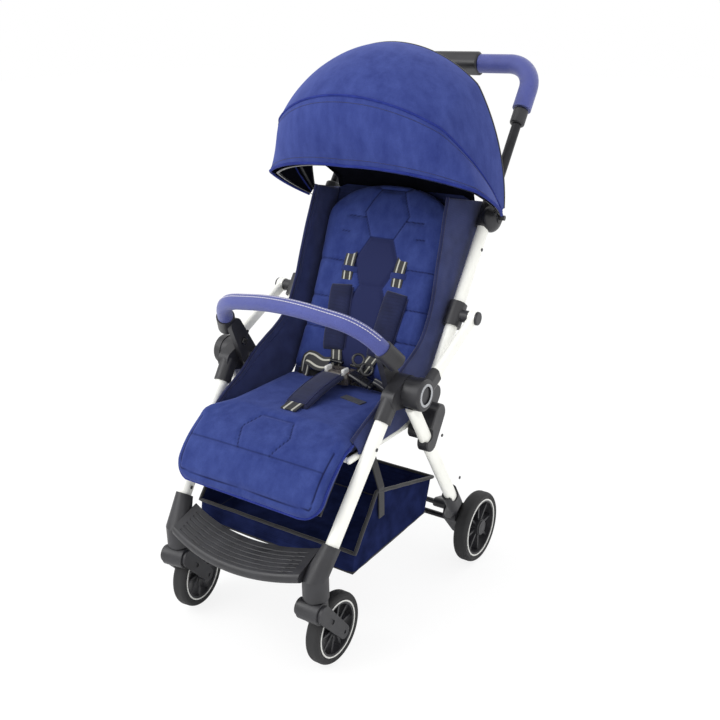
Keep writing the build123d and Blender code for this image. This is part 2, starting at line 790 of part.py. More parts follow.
def strap(start, end, lift):
    run = math.hypot(end[0] - start[0], end[1] - start[1])
    turn = math.degrees(math.atan2(end[1] - start[1], end[0] - start[0]))
    middle = Pos((start[0] + end[0]) / 2, (start[1] + end[1]) / 2, lift + strap_thick / 2)
    return middle * Rot(0, 0, turn) * Box(run, strap_w, strap_thick)


def soft_block(wide, long, thick):
    block = extrude(RectangleRounded(wide, long, 9), thick)
    return fillet(block.faces().sort_by(Axis.Z)[-1].edges(), thick * 0.45)


def harness():
    lift = back_top + pad_lift
    shoulder = Pos(shoulder_pad_x, shoulder_pad_y, lift) * soft_block(shoulder_pad_w, shoulder_pad_l, shoulder_pad_t)
    high_end = shoulder_pad_y + shoulder_pad_l / 2 + 1.5
    low_end = shoulder_pad_y - shoulder_pad_l / 2 - 3.5
    upper = strap((shoulder_pad_x + 3, high_end), (strap_slot_x, strap_slot_y), lift)
    lower = strap((shoulder_pad_x - 8, low_end), (shoulder_pad_x - 20, low_end - 26), lift)
    right = Compound([shoulder.solid(), upper.solid(), lower.solid()])
    left = mirror(right, about=Plane.YZ)
    nodes["shoulder_harness"] = back_place * Compound(right.solids() + left.solids())
    floor = seat_top + pad_lift
    tilt = Rot(crotch_tilt, 0, 0)
    crotch = Pos(0, crotch_y, floor) * tilt * Pos(0, crotch_l / 2, 0) * soft_block(crotch_w, crotch_l, crotch_t)
    buckle_y = crotch_y + crotch_l * math.cos(math.radians(crotch_tilt)) + pad_lift + buckle_l / 2
    lap = [crotch.solid()]
    for side in (-1, 1):
        lap.append(strap((side * (buckle_w / 2 + 4), buckle_y), (side * 106, buckle_y + 12), floor).solid())
    nodes["lap_harness"] = seat_place * Compound(lap)
    buckle_floor = floor + buckle_lift
    buckle = Pos(0, buckle_y, buckle_floor) * soft_block(buckle_w, buckle_l, buckle_t)
    well_floor = buckle_floor + buckle_t - buckle_sink
    well = Pos(0, buckle_y, well_floor) * Cylinder(buckle_button_d / 2 + run_gap, 40, align=stand)
    nodes["harness_buckle"] = seat_place * (buckle - well)
    cap_floor = well_floor + buckle_travel + side_gap
    cap = Pos(0, buckle_y, cap_floor) * Cylinder(buckle_button_d / 2, buckle_sink - 3, align=stand)
    nodes["buckle_button"] = seat_place * fillet(cap.edges().sort_by(Axis.Z)[-1], 1.0)


def side_walls():
    front = on_seat(30, board_thick + pad_lift)
    rear = on_seat(seat_length - 14, board_thick + pad_lift)
    run = (math.cos(math.radians(back_lean)), math.sin(math.radians(back_lean)))
    top = back_length - 14
    points = [
        (front.Y, front.Z),
        (rear.Y, rear.Z),
        (back_rod.Y + run[0] * 60, back_rod.Z + run[1] * 60),
        (back_rod.Y + run[0] * top, back_rod.Z + run[1] * top),
    ]
    points += wall_edge
    wall = extrude(Pos(wall_x, 0, 0) * side_face(points), wall_thick)
    wall = fillet(wall.edges().filter_by(Axis.X), 8.0)
    both("side_walls", wall)


def basket():
    points = [
        (basket_front_y, basket_floor_z),
        (basket_rear_y, basket_floor_z),
        (basket_top_y, basket_top_z),
        (basket_crest_y, basket_crest_z),
        (basket_lip_y, basket_lip_z),
    ]
    block = extrude(Pos(-basket_half, 0, 0) * side_face(points), 2 * basket_half)
    block = fillet(block.edges().filter_by(Axis.X).group_by(Axis.Z)[0], 14.0)
    points_in = [
        (basket_front_y + 5, basket_floor_z + basket_wall),
        (basket_rear_y - basket_wall, basket_floor_z + basket_wall),
        (basket_top_y - basket_wall, basket_top_z + 12),
        (basket_crest_y, basket_crest_z + 40),
        (basket_lip_y + 4, basket_lip_z + 40),
    ]
    inner_half = basket_half - basket_wall
    hollow = extrude(Pos(-inner_half, 0, 0) * side_face(points_in), 2 * inner_half)
    nodes["basket"] = block - hollow


def basket_straps():
    y = basket_strap_y
    on_wall = basket_half + pad_lift
    wide = strap_w * 0.7
    ends = [on_seat((end - seat_front_y) / math.cos(slope), rod_level).Z for end in (y, y - wide)]
    rail_low = min(ends) - rail_d / 2 - side_gap
    points = [
        (on_wall, 238),
        (on_wall, 297),
        (rail_x - 1, rail_low),
        (rail_x + 2, rail_low),
        (on_wall + strap_thick, 298),
        (on_wall + strap_thick, 238),
    ]
    band = Plane(origin=(0, y, 0), x_dir=(1, 0, 0), z_dir=(0, -1, 0)) * make_face(Polyline(*points, close=True))
    both("basket_straps", extrude(band, wide))


# Bumper bar
pitch = math.radians(bumper_pitch)
bumper_dir = Vector(0, -math.cos(pitch), math.sin(pitch))
bumper_end = Vector(bumper_end_x, bumper_end_y, bumper_end_z)


def in_bumper(x, along):
    return Vector(x, bumper_end_y + bumper_dir.Y * along, bumper_end_z + bumper_dir.Z * along)


def on_bar(along):
    # A place on the straight end of the bar, which leans in towards the middle.
    splay = (bumper_shoulder_x - bumper_end_x) / bumper_shoulder
    return in_bumper(bumper_end_x + splay * along, along)


button_place = hub * 0.52 + in_bumper(0, -6) * 0.48


def bumper():
    points = [
        on_bar(0),
        on_bar(bumper_shoulder),
        in_bumper(0, bumper_reach),
        in_bumper(-bumper_shoulder_x, bumper_shoulder),
        in_bumper(-bumper_end_x, 0),
    ]
    path = FilletPolyline(*points, radius=[bumper_bend, bumper_crown, bumper_bend])
    start = Plane(origin=path @ 0, z_dir=path % 0)
    nodes["bumper_grip"] = sweep(start * Circle(bumper_d / 2), path=path)
    high_x = lug_in_x + lug_thick
    knee = in_bumper(0, -6)
    lug = side_plate([(hub, 22.0), (knee, 15.0)], lug_in_x, high_x)
    lug += rod(on_bar(-16), on_bar(20), bumper_d + 6)
    lug -= rod(on_bar(-seat_gap), on_bar(28), bumper_d + 2 * seat_gap)
    lug -= cross_rod(hub, lug_in_x - 1, high_x + 1, hub_pin_d + 2 * run_gap)
    lug -= cross_rod(button_place, lug_in_x - 1, lug_in_x + 8, bumper_button_d + 2 * run_gap)
    both("bumper_lugs", lug)
    low_x = lug_in_x + 8 - bumper_travel - side_gap
    cap = cross_rod(button_place, lug_in_x - 4, low_x, bumper_button_d)
    pair("bumper_button", fillet(cap.edges().sort_by(Axis.X)[0], 1.5))


# Canopy, turned about the pins of the two canopy joints
class HoodShape:
    # Half outline across the stroller, as distances from the pivot line.
    def __init__(self, pivot_x, side, shoulder, slant, crown):
        self.pivot_x = pivot_x
        self.side = side
        self.shoulder = shoulder
        self.slant = slant
        self.crown = crown


hood_panel = HoodShape(227.0, (226.0, 95.0), (180.0, 250.0), (128.0, 290.0), 325.0)
hood_hem = HoodShape(229.0, (243.0, 90.0), (234.0, 160.0), (120.0, 227.0), 237.0)


def hood_edge(shape, inset, low, rise=0.0):
    # The half outline pulled in by a small inset, from near the pivot to the crown, which may rise by itself.
    start = (shape.pivot_x - inset, low)
    side = (shape.side[0] - inset, shape.side[1])
    shoulder = (shape.shoulder[0] - inset * 0.95, shape.shoulder[1] - inset * 0.8)
    slant = (shape.slant[0] - inset * 0.45, shape.slant[1] - inset * 0.9)
    crown = (0.0, shape.crown - inset + rise)
    return start, side, shoulder, slant, crown


def hood_plane(turn):
    # The plane that holds the pivot line and leans at the given turn, with Y away from the pivot.
    angle = math.radians(turn)
    return Plane(origin=(0, canopy.Y, canopy.Z), x_dir=(1, 0, 0), z_dir=(0, -math.sin(angle), math.cos(angle)))


def at(point, side):
    return (side * point[0], point[1])


def hood_face(shape, turn, outer, inner, low, rise=0.0):
    # A thin arch in the plane of the given turn.
    a = hood_edge(shape, outer, low, rise)
    b = hood_edge(shape, inner, low, rise)

    with BuildSketch() as arch:
        with BuildLine():
            ThreePointArc(at(a[0], 1), at(a[1], 1), at(a[2], 1))
            ThreePointArc(at(a[2], 1), at(a[3], 1), at(a[4], 1))
            ThreePointArc(at(a[4], 1), at(a[3], -1), at(a[2], -1))
            ThreePointArc(at(a[2], -1), at(a[1], -1), at(a[0], -1))
            Line(at(a[0], -1), at(b[0], -1))
            ThreePointArc(at(b[0], -1), at(b[1], -1), at(b[2], -1))
            ThreePointArc(at(b[2], -1), at(b[3], -1), at(b[4], -1))
            ThreePointArc(at(b[4], 1), at(b[3], 1), at(b[2], 1))
            ThreePointArc(at(b[2], 1), at(b[1], 1), at(b[0], 1))
            Line(at(b[0], 1), at(a[0], 1))
        make_face()
    return hood_plane(turn) * arch.sketch


def hood_curtain():
    # The flat cloth that closes the hood behind the child's head.
    edge = hood_edge(hood_panel, canopy_cloth / 2, curtain_low)
    with BuildSketch() as sheet:
        with BuildLine():
            ThreePointArc(at(edge[0], 1), at(edge[1], 1), at(edge[2], 1))
            ThreePointArc(at(edge[2], 1), at(edge[3], 1), at(edge[4], 1))
            ThreePointArc(at(edge[4], 1), at(edge[3], -1), at(edge[2], -1))
            ThreePointArc(at(edge[2], -1), at(edge[1], -1), at(edge[0], -1))
            Line(at(edge[0], -1), at(edge[0], 1))
        make_face()
    return extrude(hood_plane(canopy_back) * sheet.sketch, canopy_cloth)


pivot_line = Axis(origin=(0, canopy.Y, canopy.Z), direction=(1, 0, 0))


def canopy_bow(shape, turn, wide, inset, eye_x):
    # The crown of the bow lies just under the cloth that is sewn over it.
    rise = inset - canopy_cloth - pad_lift
    arch = hood_face(shape, turn - wide, inset, inset + bow_thick, 6.0, rise)
    bow = revolve(arch, axis=pivot_line, revolution_arc=wide)
    for side in (-1, 1):
        middle = side * eye_x
        bow += cross_rod(canopy, middle - eye_thick / 2, middle + eye_thick / 2, eye_d)
    bow -= cross_rod(canopy, -pin_end_x - 1, pin_end_x + 1, pivot_d + 2 * run_gap)
    return bow


def canopy_parts():
    seam_eye = hood_panel.pivot_x - seam_inset - bow_thick / 2
    hem_eye = hood_hem.pivot_x - hem_inset - bow_thick / 2 + 0.5
    nodes["canopy_seam_bow"] = canopy_bow(hood_panel, canopy_seam, seam_bow_turn, seam_inset, seam_eye)
    nodes["canopy_front_bow"] = canopy_bow(hood_hem, canopy_hem, front_bow_turn, hem_inset, hem_eye)
    sheet = hood_face(hood_panel, canopy_back, 0.0, canopy_cloth, canopy_start)
    panel = revolve(sheet, axis=pivot_line, revolution_arc=canopy_seam - canopy_back)
    nodes["canopy_panel"] = panel + hood_curtain()
    upper = hood_face(hood_panel, canopy_seam + 0.4, 0.0, canopy_cloth, canopy_start)
    lower = hood_face(hood_hem, canopy_hem, 0.0, canopy_cloth, canopy_start)
    nodes["canopy_visor"] = loft([upper.face(), lower.face()], ruled=True)


def build_all():
    rear_wheels()
    front_legs()
    hub_housings()
    hub_covers()
    side_links()
    hub_pins()
    front_mouldings()
    casters()
    rear_legs()
    rear_leg_heads()
    upright_brackets()
    rear_housings()
    rear_axle_rod()
    brake_pedal()
    upright_tubes()
    upright_feet()
    runners()
    canopy_joints()
    handle_tube()
    handle_collars()
    handle_grips()
    handle_housing()
    seat_frame()
    seat_parts()
    backrest_parts()
    leg_rest()
    harness()
    side_walls()
    basket()
    basket_straps()
    bumper()
    canopy_parts()


build_all()
whole = Compound([solid for part in nodes.values() for solid in part.solids()])
box = whole.bounding_box()
shift = Vector(-box.center().X, -box.center().Y, -box.min.Z)
os.makedirs("parts", exist_ok=True)
for name, part in nodes.items():
    export_step(Pos(shift.X, shift.Y, shift.Z) * part, "parts/" + name + ".step")
print(len(nodes), "nodes, shift", shift, "size", box.size)
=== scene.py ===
import bpy
import json
import math
import numpy as np
from mathutils import Matrix, Vector, noise


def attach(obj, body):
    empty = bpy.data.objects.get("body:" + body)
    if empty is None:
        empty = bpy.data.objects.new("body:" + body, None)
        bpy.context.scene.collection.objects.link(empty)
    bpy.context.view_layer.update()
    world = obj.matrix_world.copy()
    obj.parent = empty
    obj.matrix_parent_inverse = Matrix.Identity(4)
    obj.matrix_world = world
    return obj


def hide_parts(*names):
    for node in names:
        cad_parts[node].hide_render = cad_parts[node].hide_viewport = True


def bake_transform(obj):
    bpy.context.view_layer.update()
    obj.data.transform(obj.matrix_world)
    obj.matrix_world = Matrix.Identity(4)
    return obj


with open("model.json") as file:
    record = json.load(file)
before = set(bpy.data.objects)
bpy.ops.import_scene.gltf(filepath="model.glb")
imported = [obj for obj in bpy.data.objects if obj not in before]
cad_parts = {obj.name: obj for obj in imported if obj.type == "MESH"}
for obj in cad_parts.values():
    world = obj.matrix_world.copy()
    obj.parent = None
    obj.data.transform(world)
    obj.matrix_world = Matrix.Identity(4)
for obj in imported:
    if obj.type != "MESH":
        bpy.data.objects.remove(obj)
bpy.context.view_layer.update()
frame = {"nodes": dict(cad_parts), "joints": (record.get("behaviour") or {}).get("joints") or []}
nodes = frame["nodes"]
bpy.ops.object.select_all(action="DESELECT")
print("frame loaded:", len(nodes), "nodes")

mm = 0.001
jointPlace = {joint["name"]: Vector(joint["pos_m"]) for joint in frame["joints"] if "pos_m" in joint}
hubPlace = jointPlace["rear_fold"]
hoodPivot = jointPlace["canopy_turn"]
backHinge = jointPlace["backrest_recline"]
legHinge = jointPlace["leg_rest_raise"]
shiftY = hubPlace.y + 0.145  # how far the part was moved to stand in the middle
seatSlope = math.radians(-2.0)
backLean = math.radians(64.7)
legDrop = math.radians(48)


# places on the seat, the back and the leg rest, in millimetres from their hinges
def onSeat(x, along, up):
    y = along * math.cos(seatSlope) - up * math.sin(seatSlope)
    z = along * math.sin(seatSlope) + up * math.cos(seatSlope)
    return Vector((x * mm, legHinge.y + y * mm, legHinge.z + z * mm))


def onBack(x, along, up):
    y = along * math.cos(backLean) - up * math.sin(backLean)
    z = along * math.sin(backLean) + up * math.cos(backLean)
    return Vector((x * mm, backHinge.y + y * mm, backHinge.z + z * mm))


def onLegRest(x, down, up):
    y = -down * math.cos(legDrop) - up * math.sin(legDrop)
    z = -down * math.sin(legDrop) + up * math.cos(legDrop)
    return Vector((x * mm, legHinge.y + y * mm, legHinge.z + z * mm))


def inFrame(x, y, z):
    return Vector((x * mm, y * mm + shiftY, z * mm))


# colours and materials
def linear(hexCode):
    values = [int(hexCode[i:i + 2], 16) / 255 for i in (1, 3, 5)]
    return tuple([v / 12.92 if v <= 0.04045 else ((v + 0.055) / 1.055) ** 2.4 for v in values] + [1.0])


def addNode(tree, kind, settings=None, inputs=None, links=None):
    node = tree.nodes.new(kind)
    for key, value in (settings or {}).items():
        setattr(node, key, value)
    for key, value in (inputs or {}).items():
        node.inputs[key].default_value = value
    for key, socket in (links or {}).items():
        tree.links.new(socket, node.inputs[key])
    return node


def newMaterial(name, shader):
    material = bpy.data.materials.new(name)
    material.use_nodes = True
    tree = material.node_tree
    surface = tree.nodes["Principled BSDF"]
    for key, value in shader.items():
        surface.inputs[key].default_value = value
    place = addNode(tree, "ShaderNodeTexCoord").outputs["Object"]
    return material, tree, surface, place


def mixColours(tree, factor, low, high):
    mix = addNode(tree, "ShaderNodeMix", {"data_type": "RGBA"}, {6: low, 7: high}, {0: factor})
    return mix.outputs[2]


def multiply(tree, a, b):
    settings = {"data_type": "RGBA", "blend_type": "MULTIPLY"}
    return addNode(tree, "ShaderNodeMix", settings, {0: 1.0}, {6: a, 7: b}).outputs[2]


def addMath(tree, operation, a, b=None):
    # b is a number or another socket
    number = {1: b} if isinstance(b, float) else {}
    links = {0: a} if b is None or number else {0: a, 1: b}
    return addNode(tree, "ShaderNodeMath", {"operation": operation}, number, links).outputs[0]


def ramp(tree, value, low, high, start=0.0, end=1.0):
    settings = {"From Min": low, "From Max": high, "To Min": start, "To Max": end}
    return addNode(tree, "ShaderNodeMapRange", None, settings, {"Value": value}).outputs["Result"]


def noiseAt(tree, place, sizeMm, detail=2.0, rough=0.5):
    # one blob of the pattern is about sizeMm across
    settings = {"Scale": 1000.0 / sizeMm, "Detail": detail, "Roughness": rough}
    return addNode(tree, "ShaderNodeTexNoise", None, settings, {"Vector": place}).outputs["Fac"]


def bumpFrom(tree, surface, height, distanceMm, strength=1.0):
    settings = {"Strength": strength, "Distance": distanceMm * mm}
    bump = addNode(tree, "ShaderNodeBump", None, settings, {"Height": height})
    tree.links.new(bump.outputs["Normal"], surface.inputs["Normal"])


# a plain finish: two close colours in soft patches, with the same patches in its roughness and a fine grain
def makePlain(name, shader, blob, dark, light, spread=(0.3, 0.7), rough=None, grain=None):
    material, tree, surface, place = newMaterial(name, shader)
    cloud = noiseAt(tree, place, *blob)
    factor = ramp(tree, cloud, *spread) if spread else cloud
    tree.links.new(mixColours(tree, factor, linear(dark), linear(light)), surface.inputs["Base Color"])
    if rough:
        tree.links.new(ramp(tree, cloud, 0.3, 0.7, *rough), surface.inputs["Roughness"])
    if grain:
        size, detail, deep, strength = grain
        bumpFrom(tree, surface, noiseAt(tree, place, size, detail), deep, strength)
    return material


# PU leatherette: periwinkle, pebbled with grains about 1.6 mm across
def makeLeatherette():
    shader = {"IOR": 1.5, "Sheen Weight": 0.25, "Sheen Roughness": 0.5}
    material, tree, surface, place = newMaterial("puLeatherettePeriwinkle", shader)
    grain = addNode(tree, "ShaderNodeTexVoronoi", {"feature": "DISTANCE_TO_EDGE"}, {"Scale": 620.0},
                    {"Vector": place})
    pores = ramp(tree, grain.outputs["Distance"], 0.0, 0.22)
    cloud = noiseAt(tree, place, 25.0, 3.0)
    warm = mixColours(tree, ramp(tree, cloud, 0.3, 0.7), linear("#404A94"), linear("#4E58A4"))
    pore = {6: linear("#353D82")}
    colour = addNode(tree, "ShaderNodeMix", {"data_type": "RGBA"}, pore, {0: pores, 7: warm}).outputs[2]
    tree.links.new(colour, surface.inputs["Base Color"])
    tree.links.new(ramp(tree, cloud, 0.3, 0.7, 0.46, 0.6), surface.inputs["Roughness"])
    bumpFrom(tree, surface, pores, 0.25, 0.7)
    return material


# brushed polyester suede: nap strokes in large patches, fine fibres, and painted shade that darkens the
# stitched seam lines in their pressed creases
def makeSuede(name, dark, light, creaseShade):
    shader = {"IOR": 1.45, "Roughness": 0.85, "Specular IOR Level": 0.2, "Sheen Weight": 0.35,
              "Sheen Roughness": 0.45}
    material, tree, surface, place = newMaterial(name, shader)
    surface.inputs["Sheen Tint"].default_value = linear("#8F9BE0")
    stroke = addNode(tree, "ShaderNodeMapping", None, {"Scale": (1.0, 1.0, 0.45)}, {"Vector": place})
    nap = noiseAt(tree, stroke.outputs["Vector"], 26.0, 4.0, 0.62)
    fibre = noiseAt(tree, place, 2.6, 3.0, 0.7)  # fibres drawn coarser than life
    colour = mixColours(tree, ramp(tree, nap, 0.3, 0.72), linear(dark), linear(light))
    grain = mixColours(tree, ramp(tree, fibre, 0.25, 0.75), (0.86, 0.86, 0.88, 1), (1.06, 1.06, 1.08, 1))
    fine = multiply(tree, colour, grain)
    # painted shade: the seam mask darkens the colour along the pressed seam creases
    seam = addNode(tree, "ShaderNodeAttribute", {"attribute_name": "seam"}).outputs["Fac"]
    creaseShaded = mixColours(tree, ramp(tree, seam, 0.25, 1.0), (1, 1, 1, 1), linear(creaseShade))
    final = multiply(tree, fine, creaseShaded)
    navy = addNode(tree, "ShaderNodeAttribute", {"attribute_name": "patch"}).outputs["Fac"]
    patched = addNode(tree, "ShaderNodeMix", {"data_type": "RGBA"}, {7: linear("#22284F")},
                      {0: ramp(tree, navy, -0.4, 0.4), 6: final})
    tree.links.new(patched.outputs[2], surface.inputs["Base Color"])
    bumpFrom(tree, surface, fibre, 0.3, 0.45)
    return material


# plain-woven polyester, thread spacing drawn at 1.6 mm so that it shows
def makeWeave(name, dark, light, sheen=0.2):
    shader = {"IOR": 1.45, "Roughness": 0.8, "Specular IOR Level": sheen, "Sheen Weight": sheen,
              "Sheen Roughness": 0.5}
    material, tree, surface, place = newMaterial(name, shader)
    cloud = noiseAt(tree, place, 30.0, 3.0)
    bands = {"Scale": 100.0, "Distortion": 0.6}
    warp, weft = [addNode(tree, "ShaderNodeTexWave", {"bands_direction": way}, bands, {"Vector": place})
                  for way in "ZY"]
    cloth = addMath(tree, "MAXIMUM", warp.outputs["Fac"], weft.outputs["Fac"])
    colour = mixColours(tree, ramp(tree, cloud, 0.3, 0.7), linear(dark), linear(light))
    threads = mixColours(tree, cloth, (0.8, 0.8, 0.82, 1), (1.05, 1.05, 1.06, 1))
    tree.links.new(multiply(tree, colour, threads), surface.inputs["Base Color"])
    bumpFrom(tree, surface, cloth, 0.25, 0.5)
    return material


# nylon webbing: black ribs with two pale woven stripes, placed by the strap's own UV
def makeWebbing(name, striped):
    material, tree, surface, place = newMaterial(name, {"IOR": 1.45, "Roughness": 0.6, "Sheen Weight": 0.15})
    ribs = noiseAt(tree, place, 1000.0 / 700.0, 1.0)
    colour = mixColours(tree, ribs, linear("#131315"), linear("#232326"))
    if striped:
        # the stripes lie 0.27 of the width from the middle
        flat = addNode(tree, "ShaderNodeUVMap").outputs["UV"]
        split = addNode(tree, "ShaderNodeSeparateXYZ", None, None, {"Vector": flat})
        side = addMath(tree, "ABSOLUTE", addMath(tree, "SUBTRACT", split.outputs["X"], 0.5))
        stripe = addMath(tree, "ABSOLUTE", addMath(tree, "SUBTRACT", side, 0.27))
        mark = ramp(tree, stripe, 0.045, 0.075, 1.0, 0.0)
        pale = {7: linear("#B9B8AC")}
        colour = addNode(tree, "ShaderNodeMix", {"data_type": "RGBA"}, pale, {0: mark, 6: colour}).outputs[2]
    tree.links.new(colour, surface.inputs["Base Color"])
    bumpFrom(tree, surface, ribs, 0.3, 0.6)
    return material


# polyester thread, also for the woven grey tab
def makeThread(name, code):
    material, tree, surface, place = newMaterial(name, {"Roughness": 0.55, "Sheen Weight": 0.05})
    twist = noiseAt(tree, place, 1.2, 1.0)
    base = linear(code)
    lower = tuple([c * 0.75 for c in base[:3]] + [1.0])
    tree.links.new(mixColours(tree, twist, lower, base), surface.inputs["Base Color"])
    return material


finish = {
    # powder-coated aluminium tube: warm white, satin, with a faint orange peel
    "white": makePlain("powderCoatWhite", {"Roughness": 0.34, "IOR": 1.5}, (60.0,), "#F6F6EE", "#FBFBF5",
                       grain=(2.2, 1.0, 0.05, 0.5)),
    # glass-filled nylon, moulded: near black, rubbed smoother in patches, grain drawn coarser than life
    "nylon": makePlain("mouldedNylonBlack", {"IOR": 1.5}, (35.0, 3.0), "#1F1F22", "#2D2D31",
                       rough=(0.36, 0.52), grain=(1.3, 2.0, 0.12, 0.6)),
    # polished ABS: black with soft gloss, for the buckle and the buttons
    "gloss": makePlain("polishedAbsBlack", {"IOR": 1.52, "Coat Weight": 0.25}, (14.0, 3.0), "#1A1A1D",
                       "#1A1A1D", rough=(0.18, 0.34), grain=(14.0, 3.0, 0.08, 0.25)),
    # anodised telescopic tube
    "tube": makePlain("anodisedTubeBlack", {"Metallic": 0.55}, (22.0, 3.0), "#1B1B1E", "#29292D",
                      rough=(0.26, 0.4)),
    # solid EVA tyre: matt, dusty, with a fine skin
    "tyre": makePlain("evaTyreBlack", {"IOR": 1.5}, (9.0, 4.0, 0.6), "#1A1A1B", "#28282A",
                      spread=(0.35, 0.75), rough=(0.62, 0.82), grain=(1.2, 2.0, 0.1, 0.5)),
    # white ABS, for the wheels' trim rings and the buckle's clips
    "trim": makePlain("absTrimWhite", {"Roughness": 0.3, "IOR": 1.5}, (18.0,), "#DADAD6", "#ECECE8",
                      spread=None),
    # stamped and zinc-plated steel
    "steel": makePlain("zincSteel", {"Metallic": 1.0}, (5.0, 3.0), "#9A9CA0", "#C4C6C8", spread=None,
                       rough=(0.24, 0.4)),
    # smoked polycarbonate: brown-grey and shiny, for the buckle's dome
    "smoke": makePlain("smokedPolycarbonate", {"IOR": 1.58, "Coat Weight": 0.3}, (16.0, 3.0), "#3A3531",
                       "#57504A", rough=(0.22, 0.38)),
    # red ABS, for the mark on the buckle's tongue
    "red": makePlain("absRed", {"Roughness": 0.35}, (4.0,), "#B8301F", "#D84631", spread=None),
    "leather": makeLeatherette(),
    # the third colour of each suede is the painted shade laid into its seam creases
    "royal": makeSuede("polyesterSuedeRoyal", "#263470", "#384784", "#4C5274"),
    "hood": makeSuede("polyesterSuedeHood", "#304190", "#4C5EAE", "#565C80"),
    "navy": makeWeave("wovenPolyesterNavy", "#171C3A", "#1F2548"),
    "wall": makeWeave("wovenWallNavy", "#242D57", "#303968"),
    "lining": makeWeave("wovenLiningDark", "#0D0E14", "#14151D", 0.0),
    "binding": makeWebbing("foldedBindingBlack", False),
    "strap": makeWebbing("harnessWebbingStriped", True),
    "thread": makeThread("sewingThreadPale", "#DAD8E6"),
    "greyTab": makeThread("wovenTabGrey", "#45474F"),
    "blueThread": makeThread("sewingThreadBlue", "#1D2458"),
    "piping": makeWeave("wovenPipingRoyal", "#222D72", "#2E3A84", 0.05),
    "edge": makeWeave("wovenEdgingNavy", "#1A1F42", "#242A52"),
    "bag": makeWeave("wovenBasketNavy", "#171D3A", "#212950", 0.0),
}
print("materials made:", len(finish))

nodeFinish = {
    "white": ("front_leg_left", "front_leg_right", "rear_leg_left", "rear_leg_right", "upright_tube_left",
              "upright_tube_right", "side_links", "seat_frame"),
    "tube": ("handle_tube", "rear_axle", "canopy_seam_bow", "canopy_front_bow"),
    "tyre": ("rear_tyre_left", "rear_tyre_right", "front_tyre_left", "front_tyre_right"),
    "leather": ("handle_grip_left", "handle_grip_right", "bumper_grip"),
    "steel": ("hub_pins",),
    "gloss": ("fold_button", "bumper_button_left", "bumper_button_right"),
    "smoke": ("harness_buckle", "buckle_button"),
    "binding": ("basket_straps",),
}
for node in nodes.values():
    node.data.materials.clear()
    node.data.materials.append(finish["nylon"])
for key, names in nodeFinish.items():
    for name in names:
        nodes[name].data.materials[0] = finish[key]
print("frame finished")


# modelling helpers
def only(piece):
    bpy.ops.object.select_all(action="DESELECT")
    piece.select_set(True)
    bpy.context.view_layer.objects.active = piece


def places(piece):
    flat = np.zeros(len(piece.data.vertices) * 3)
    piece.data.vertices.foreach_get("co", flat)
    return flat.reshape(-1, 3)


def setPlaces(piece, points):
    piece.data.vertices.foreach_set("co", np.asarray(points, float).reshape(-1))
    piece.data.update()


def named(name):
    # the piece that was added last
    piece = bpy.context.object
    piece.name = name
    piece.data.name = name
    return piece


def addGrid(name, across, along, shape):
    # a grid primitive whose points are carried to shape(u, v), u and v from 0 to 1
    bpy.ops.mesh.primitive_grid_add(x_subdivisions=across, y_subdivisions=along, size=1.0)
    piece = named(name)
    for vertex in piece.data.vertices:
        vertex.co = shape(vertex.co.x + 0.5, vertex.co.y + 0.5)
    piece.data.update()
    return piece


def joinPieces(name, pieces):
    bpy.ops.object.select_all(action="DESELECT")
    for piece in pieces:
        piece.select_set(True)
    bpy.context.view_layer.objects.active = pieces[0]
    bpy.ops.object.join()
    return named(name)


def mendMesh(piece):
    only(piece)
    bpy.ops.object.mode_set(mode="EDIT")
    bpy.ops.mesh.select_all(action="SELECT")
    bpy.ops.mesh.remove_doubles(threshold=0.05 * mm)
    bpy.ops.mesh.normals_make_consistent(inside=False)
    bpy.ops.object.mode_set(mode="OBJECT")


def applyModifier(piece, kind, **settings):
    only(piece)
    modifier = piece.modifiers.new(kind.lower(), kind)
    for key, value in settings.items():
        setattr(modifier, key, value)
    bpy.ops.object.modifier_apply(modifier=modifier.name)


def smooth(piece, angle=None):
    only(piece)
    if angle is None:
        bpy.ops.object.shade_smooth()
    else:
        bpy.ops.object.shade_smooth_by_angle(angle=math.radians(angle))


def paint(piece, *keys):
    piece.data.materials.clear()
    for key in keys:
        piece.data.materials.append(finish[key])


def cushion(name, across, along, top, bottom):
    # two grids, face to face, sewn together along their edges
    upper = addGrid(name, across, along, top)
    lower = addGrid(name + "Under", across, along, bottom)
    piece = joinPieces(name, [upper, lower])
    mendMesh(piece)
    return piece


def cordMesh(name, runs, radiusMm, sides, closed=False):
    # round cords laid through lists of points and made one mesh
    curve = bpy.data.curves.new(name, "CURVE")
    curve.dimensions = "3D"
    curve.bevel_depth = radiusMm * mm
    curve.bevel_resolution = sides
    curve.use_fill_caps = True
    for run in runs:
        spline = curve.splines.new("POLY")
        spline.points.add(len(run) - 1)
        for point, place in zip(spline.points, run):
            point.co = (*place, 1.0)
        spline.use_cyclic_u = closed
    piece = bpy.data.objects.new(name, curve)
    bpy.context.scene.collection.objects.link(piece)
    only(piece)
    bpy.ops.object.convert(target="MESH")
    return bpy.context.object


def tubeAlong(name, points, radiusMm, key, closed=False, sides=3):
    piece = cordMesh(name, [points], radiusMm, sides, closed)
    smooth(piece)
    paint(piece, key)
    return piece


def ribbon(name, points, normal, widthMm, thickMm, key):
    # flat webbing: its middle runs through the points, and its face looks along the normal
    last = len(points) - 1
    runs = [(points[min(i + 1, last)] - points[max(i - 1, 0)]).normalized() for i in range(last + 1)]

    def shape(u, v):
        i = min(int(v * last), last - 1)
        t = v * last - i
        side = runs[i].lerp(runs[i + 1], t).cross(normal).normalized()
        return points[i].lerp(points[i + 1], t) + side * ((u - 0.5) * widthMm * mm)

    piece = addGrid(name, 4, last * 3, shape)
    applyModifier(piece, "SOLIDIFY", thickness=thickMm * mm, offset=0.0)
    smooth(piece, 40)
    paint(piece, key)
    return piece


def smoothStep(low, high, value):
    t = min(1.0, max(0.0, (value - low) / (high - low)))
    return t * t * (3 - 2 * t)


def roundEdge(away, radius):
    # how full a pad is near its edge, from 0 to 1
    return math.sqrt(max(0.0, 1 - max(0.0, 1 - away / radius) ** 2))


